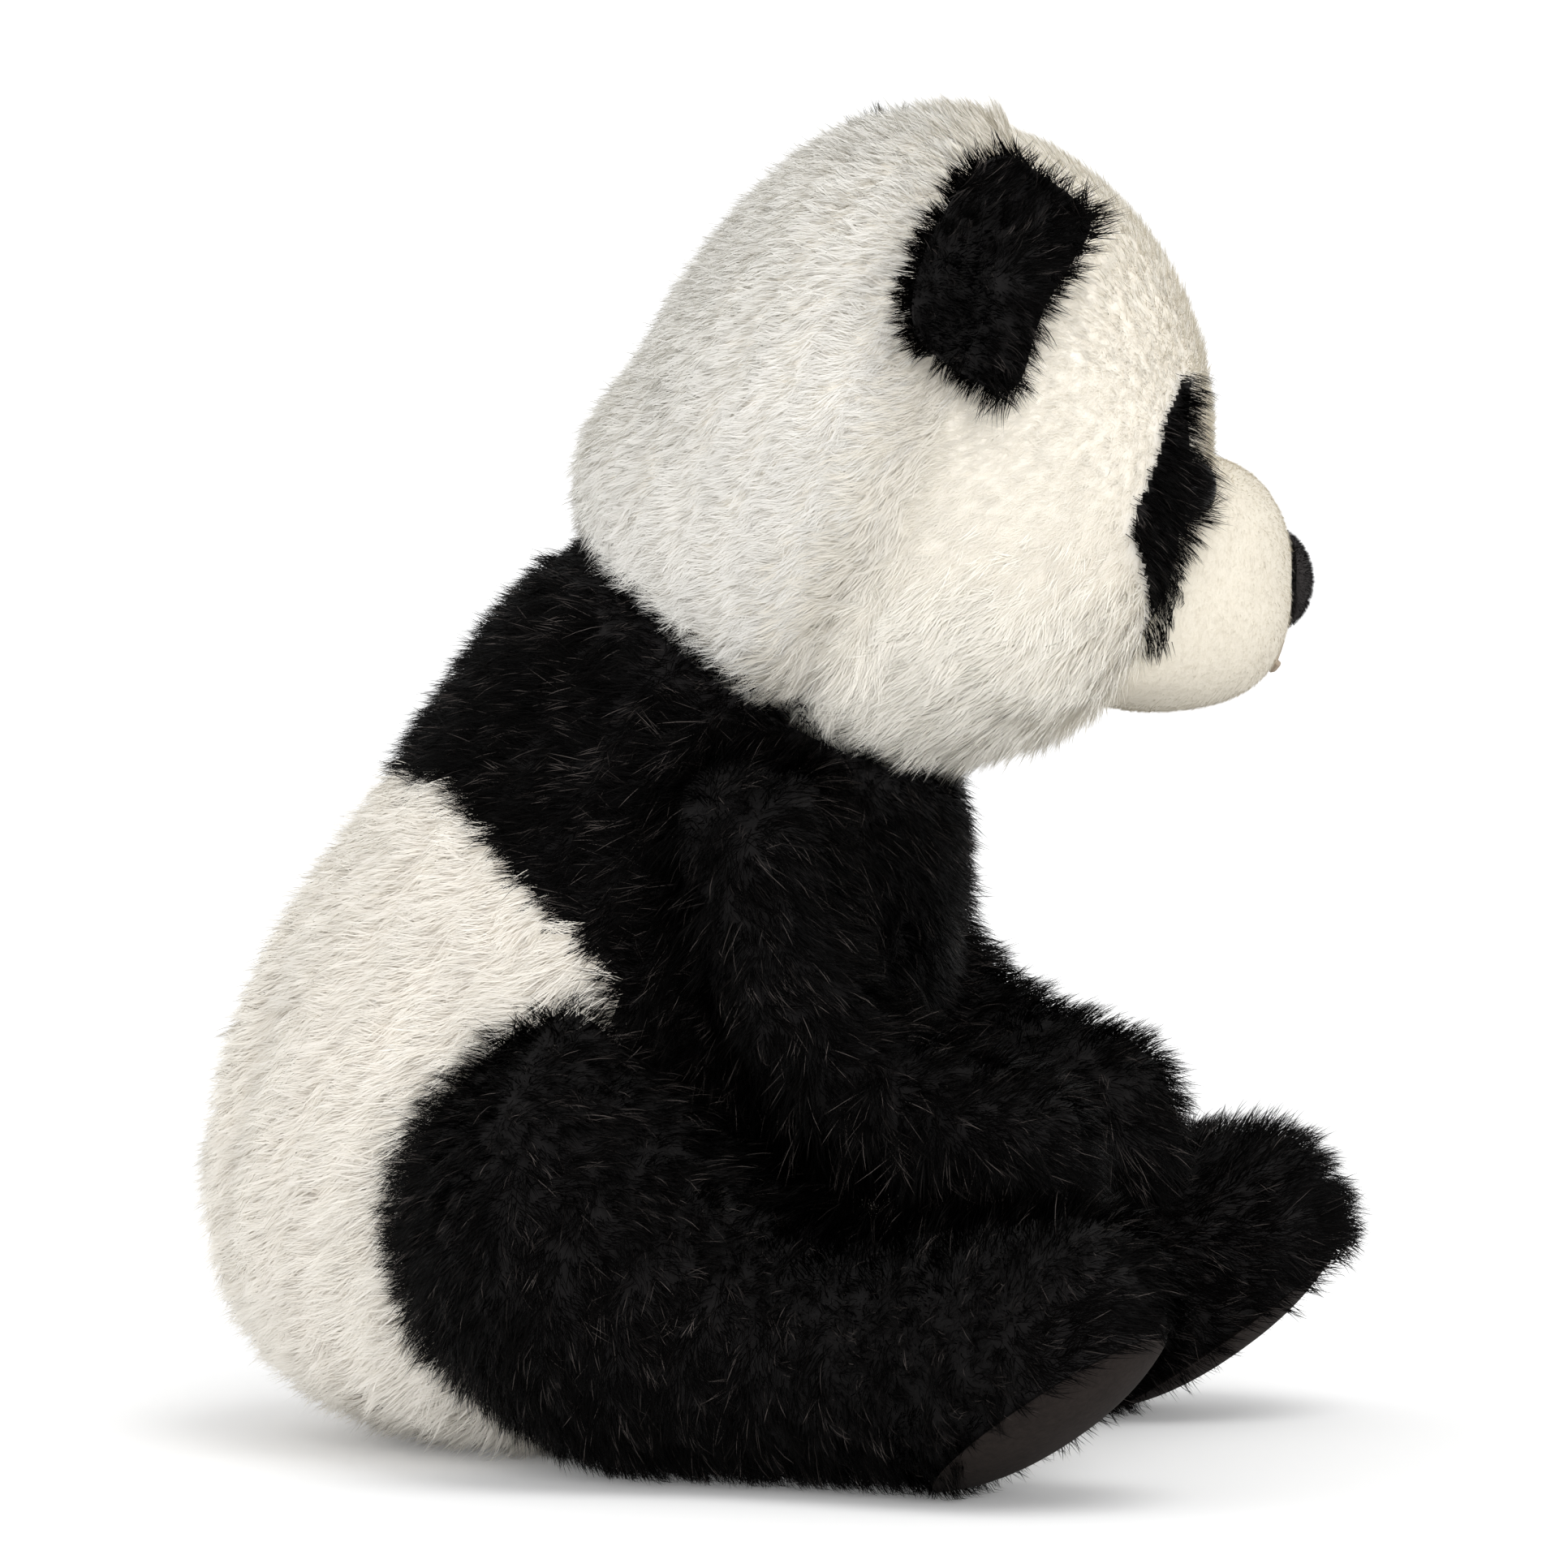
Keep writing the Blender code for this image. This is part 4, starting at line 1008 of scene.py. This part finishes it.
def make_eye(side, half):
    """A polished dome on its shank."""
    place, normal = eye_place(side)
    angles = np.radians(range(90, -1, -6))
    profile = [(EYE_RADIUS * cos(a), EYE_RISE * sin(a)) for a in angles]
    profile[0] = (0, EYE_RISE)
    profile += [(EYE_RADIUS * 0.97, -0.0005), (EYE_RADIUS * 0.8, -0.0009), (0.0021, -0.0010)]
    profile += [(0.002, -0.0045), (0, -0.0045)]
    dome = bmesh.new()
    verts = [dome.verts.new((r, 0, z)) for r, z in profile]
    edges = [dome.edges.new(pair) for pair in zip(verts, verts[1:])]
    bmesh.ops.spin(
        dome, geom=verts + edges, cent=(0, 0, 0), axis=(0, 0, 1), angle=2 * pi, steps=40,
        use_merge=True,
    )
    bmesh.ops.remove_doubles(dome, verts=dome.verts, dist=1e-5)
    bmesh.ops.recalc_face_normals(dome, faces=dome.faces)
    aim(dome, place, normal)
    mesh = as_mesh(dome, "eye")
    mesh.shade_smooth()
    piece = rides(add_object(f"eye_dome_{half}", mesh, EYE), "head")
    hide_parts(f"eye_{half}")


def make_muzzle():
    skin = Skin(SNOUT, SNOUT_GRID, MUZZLE_PILE)
    behind = Skin(HEAD, CUT_GRID, HEAD_PILE - 0.0004)
    random = draws("muzzle")
    points, normals = skin.scattered(SHORT_CREAM, random)
    nose = NoseForm()
    own = ~hidden(points, [HEAD], -0.003) & ~nose.inside(points)
    own &= in_patches(points) > 1
    piece = carve(add_object("muzzle_skin", skin.mesh, CREAM_CLOTH), [behind.mesh])
    stuff(piece, "head", 0.9, "short_pile", "muzzle", "muzzle_stuffing")
    cover(
        "head", "short_pile", "muzzle_fur", points[own], normals[own], face_comb, SHORT_CREAM,
        MUZZLE_FUR, FUR_SEEDS["muzzle"],
    )
    pad = Skin(nose, NOSE_GRID, NOSE_PILE)
    points, normals = pad.scattered(SHORT_BLACK, random)
    own = ~hidden(points, [SNOUT], -0.001)
    behind = Skin(SNOUT, SMALL_CUT_GRID, 0.0003)
    piece = carve(add_object("nose_pad", pad.mesh, NOSE_CLOTH), [behind.mesh])
    stuff(piece, "head", 0.9, "nose_pile", "nose")
    comb = towards(turned(HEAD_PLACED, (0, 0.3, -1)))
    cover(
        "head", "nose_pile", "nose_fur", points[own], normals[own], comb, SHORT_BLACK, NOSE_FUR,
        FUR_SEEDS["nose"],
    )


class NoseForm:
    """The nose: an oval on the end of the muzzle."""

    def shaped(self, sphere):
        return moved(HEAD_PLACED, sphere * NOSE_HALVES + NOSE_PLACE)

    def inside(self, points):
        local = (HEAD.local(points) - NOSE_PLACE) / NOSE_HALVES
        return norm(local, axis=1) < 1


def make_ear(half, number):
    form, body = EARS[half], f"ear_{half}"
    skin = Skin(form, EAR_GRID, EAR_PILE)
    behind = Skin(HEAD, CUT_GRID, HEAD_PILE - 0.001)
    random = draws("ear", number)
    points, normals = skin.scattered(EAR_BLACK, random)
    own = ~hidden(points, [HEAD], -0.003)
    piece = carve(add_object(f"{body}_pad", skin.mesh, BLACK_CLOTH), [behind.mesh])
    stuff(piece, body, 0.4, "black_pile", f"{body}_front", f"{body}_back")

    def comb(places):
        away = form.local(places) + (0, 0, 0.006)
        away[:, 1] = 0
        return turned(form.placed, unit(away))

    def tufts(places):
        """Longer fur at the ear's corners."""
        x, _, z = (form.local(places) / (EAR_HALF_WIDTH, 1, EAR_HALF_HEIGHT)).T
        corner = np.minimum(np.abs(x), np.abs(z))
        front = (form.side * x < 0) & (z < 0)
        return 0.9 + (0.35 + 0.35 * front) * rise(corner, 0.5, 0.3)

    cover(
        body, "black_pile", f"{body}_fur", points[own], normals[own], comb, EAR_BLACK,
        BLACK_FUR, FUR_SEEDS["ear"] + number, tufts,
    )


# Limbs


def sew(piece, furs, limb):
    """A stuffed limb: its cloth and fur, with their places baked into their meshes, stand for the
    limb's CAD nodes.
    """
    for item in (piece, *furs):
        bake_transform(item)
    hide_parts(f"{limb}_skin", f"{limb}_stuffing")


def make_arm(half, number):
    form, limb = ARMS[half], f"arm_{half}"
    skin = Skin(form, ARM_GRID, LIMB_PILE)
    random = draws("arm", number)
    points, normals = skin.scattered(BLACK_PILE, random)
    own = ~hidden(points, [BODY, LEGS[half]], BURIED)
    cutters = [Skin(BODY, CUT_GRID, 0.0).mesh, Skin(LEGS[half], LEG_CUT_GRID, 0.0).mesh]
    piece = carve(add_object(f"{limb}_pad", skin.mesh, BLACK_CLOTH), cutters)

    def shoulder(local):
        return rise(-local[:, 2:], -0.022, 0.030)

    def comb(places):
        """Outward over the shoulder's seam, then down the arm."""
        local = form.local(places)
        outward = unit(local * (1, 1, 0)) * shoulder(local)
        return turned(form.placed, np.array((0, 0.25, 1)) * (1 - shoulder(local)) + outward)

    def longer(places):
        """Longer fur on the shoulder and under the forearm."""
        local = form.local(places)
        _, y, z = local.T
        under = rise(y, 0, 0.015) * rise(z, 0.03, 0.02)
        return 1 + 0.6 * under + 0.4 * shoulder(local)[:, 0]

    furs = grow(
        f"{limb}_fur", points[own], normals[own], comb, BLACK_PILE, BLACK_FUR,
        FUR_SEEDS["arm"] + number, longer,
    )
    sew(piece, furs, limb)


def make_leg(half, number):
    form, limb = LEGS[half], f"leg_{half}"
    skin = Skin(form, LEG_GRID, LIMB_PILE)
    random = draws("leg", number)
    points, normals = skin.scattered(BLACK_PILE, random)
    heel, out, _ = sole_axes(half)
    past = (points - heel) @ out > -0.0005
    own = ~hidden(points, [BODY], BURIED) & ~past & (points[:, 2] > 0.0035)
    box = bmesh.new()
    bmesh.ops.create_cube(box, size=0.3, matrix=Matrix.Translation((0, 0, 0.15)))
    aim(box, heel, out)
    cutters = [Skin(BODY, CUT_GRID, 0.0).mesh, as_mesh(box, "foot_end")]
    piece = carve(add_object(f"{limb}_pad", skin.mesh, BLACK_CLOTH), cutters)

    def comb(places):
        """Down the thigh, out over its back edge and along the foot."""
        x, y, z = form.local(places).T
        behind, foot = rise(-z, 0.012, 0.030)[:, None], rise(z, 0.045, 0.040)[:, None]
        outward = np.stack((0 * x, y * 14, -np.ones(len(z))), 1)
        lay = np.array((0, 0.9, 0.35)) * (1 - behind) * (1 - foot) + outward * behind
        return turned(form.placed, lay + np.array((0, 0.1, 1.0)) * foot)

    def longer(places):
        """Longer fur under the forearm and low behind the thigh."""
        _, y, z = form.local(places).T
        along = np.exp(-(((z - 0.055) / 0.020) ** 2))
        low = rise(y, 0.010, 0.020) * rise(-z, 0.020, 0.015)
        return 1 + 0.5 * np.clip(-y / 0.010 + 0.5, 0, 1) * along + 0.8 * low

    furs = grow(
        f"{limb}_fur", points[own], normals[own], comb, BLACK_PILE, BLACK_FUR,
        FUR_SEEDS["leg"] + number, longer,
    )
    sew(piece, furs, limb)
    make_sole(half)


def sole_axes(half):
    """Where the flat of the foot starts at the heel, the way out of it and the way along it."""
    placed = LEGS[half].placed
    heel = moved(placed, np.array(((0, HIP[2], SOLE_START),)))[0]
    out = turned(placed, (0, cos(SOLE_TILT), sin(SOLE_TILT)))
    along = turned(placed, (0, -sin(SOLE_TILT), cos(SOLE_TILT)))
    return heel, out, along


def make_sole(half):
    """A smooth pad, crowned, with its edge drawn in to the seam."""
    heel, out, along = sole_axes(half)
    placed = axes(heel + along * SOLE_MIDDLE, out, along)
    mesh = as_mesh(ball(*SOLE_GRID), "sole")
    sphere = unit(read(mesh.vertices, "co"))
    reach = np.hypot(sphere[:, 0], sphere[:, 1])
    crown = np.where(sphere[:, 2] > 0, SOLE_CROWN * (1 - reach**2.6), -0.0012 * (1 - reach**4))
    crown = crown + 0.0003
    flat = sphere[:, :2] * (SOLE_HALF_WIDTH, SOLE_HALF_LENGTH)
    points = moved(placed, np.column_stack((flat, crown)))
    points[:, 2] = np.maximum(points[:, 2], 0.0003)
    place(mesh, points)
    mesh.shade_smooth()
    piece = add_object(f"sole_{half}_pad", mesh, SUEDE)
    stuff(piece, f"leg_{half}", 0.6, "suede", f"sole_{half}")


# Floor, light and camera

PIXEL = 0.0001754
PHOTO_SIZE = 1932
ORIGIN_PIXEL = (911, 1780)
CAMERA_AZIMUTH, CAMERA_ELEVATION = radians(-76), radians(5)
CAMERA_DISTANCE = 4.0
SENSOR = 36.0
WORLD_LIGHT = 0.75
WHITE = (1, 1, 1, 1)
FLOOR_COLOUR, FLOOR_GLOW = (0.93, 0.93, 0.93, 1), 0.12
FLOOR_SIZE, FLOOR_HEIGHT = 60, -0.0002


def camera_axes():
    a, e = CAMERA_AZIMUTH, CAMERA_ELEVATION
    back = Vector((sin(a) * cos(e), -cos(a) * cos(e), sin(e)))
    right = Vector((cos(a), sin(a), 0))
    return right, back.cross(right), back


def make_camera():
    right, up, back = camera_axes()
    lens = bpy.data.cameras.new("camera")
    lens.sensor_width = SENSOR
    lens.lens = SENSOR * CAMERA_DISTANCE / (PHOTO_SIZE * PIXEL)
    camera = add_object("camera", lens)
    middle = right * (PHOTO_SIZE / 2 - ORIGIN_PIXEL[0]) * PIXEL
    middle += up * (ORIGIN_PIXEL[1] - PHOTO_SIZE / 2) * PIXEL
    camera.location = middle + back * CAMERA_DISTANCE
    camera.rotation_euler = back.to_track_quat("Z", "Y").to_euler()
    bpy.context.scene.camera = camera


def seen_directly(tree):
    """1 for rays from the camera, and for those that it sees in gloss or glass."""
    path = add_node(tree, "LightPath")
    total = path.outputs["Is Camera Ray"]
    for name in ("Is Glossy Ray", "Is Transmission Ray"):
        most = add_node(tree, "Math", "MAXIMUM")
        tree.links.new(total, most.inputs[0])
        tree.links.new(path.outputs[name], most.inputs[1])
        total = most.outputs[0]
    return total


def make_world():
    world = bpy.data.worlds.new("studio")
    bpy.context.scene.world = world
    world.use_nodes = True
    tree = world.node_tree
    light = tree.nodes["Background"]
    light.inputs["Color"].default_value = WHITE
    light.inputs["Strength"].default_value = WORLD_LIGHT
    white = add_node(tree, "Background", Color=WHITE, Strength=1.0)
    both = add_node(tree, "MixShader")
    tree.links.new(seen_directly(tree), both.inputs["Fac"])
    tree.links.new(light.outputs[0], both.inputs[1])
    tree.links.new(white.outputs[0], both.inputs[2])
    tree.links.new(both.outputs[0], tree.nodes["World Output"].inputs["Surface"])


def make_floor():
    bpy.ops.mesh.primitive_plane_add(size=FLOOR_SIZE, location=(0, 0, FLOOR_HEIGHT))
    floor = bpy.context.object
    floor.name = "floor"
    material, tree, shader = nodes_of("floor", 1.0, 0.0)
    shader.inputs["Base Color"].default_value = FLOOR_COLOUR
    shader.inputs["Emission Color"].default_value = WHITE
    glow = add_node(tree, "Math", "MULTIPLY", FLOOR_GLOW)
    tree.links.new(seen_directly(tree), glow.inputs[0])
    tree.links.new(glow.outputs[0], shader.inputs["Emission Strength"])
    floor.data.materials.append(material)


def add_sun(name, along, strength, softness):
    """A soft even lamp: its direction right, up and back from the camera's view of the panda."""
    right, _, back = camera_axes()
    lamp = bpy.data.lights.new(name, "SUN")
    lamp.energy = strength
    lamp.angle = radians(softness)
    item = add_object(name, lamp)
    towards_lamp = right * along[0] + Vector((0, 0, along[1])) + back * along[2]
    item.rotation_euler = towards_lamp.to_track_quat("Z", "Y").to_euler()


def dress(name, material):
    """A CAD node that stays, in a better material."""
    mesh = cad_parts[name].data
    mesh.materials.clear()
    mesh.materials.append(material)


def main():
    bpy.context.scene.view_settings.view_transform = "Standard"
    make_camera()
    make_world()
    make_floor()
    add_sun("above", (0.3, 1.0, 0.4), 0.9, 35)
    add_sun("front", (0.22, 0.02, 0.97), 2.05, 45)
    add_sun("behind", (-0.9, 0.15, 0.35), 0.7, 60)
    make_body()
    make_head()
    make_muzzle()
    for number, (side, half) in enumerate(SIDES):
        make_patch(side, half)
        make_eye(side, half)
        make_ear(half, number)
        make_arm(half, number)
        make_leg(half, number)
    dress("neck_seam", THREAD)
    dress("mouth_stitch", THREAD)
    for _, half in SIDES:
        dress(f"eye_washer_{half}", WASHER)
    for mesh in [mesh for mesh in bpy.data.meshes if not mesh.users]:
        bpy.data.meshes.remove(mesh)


main()
bpy.context.view_layer.update()
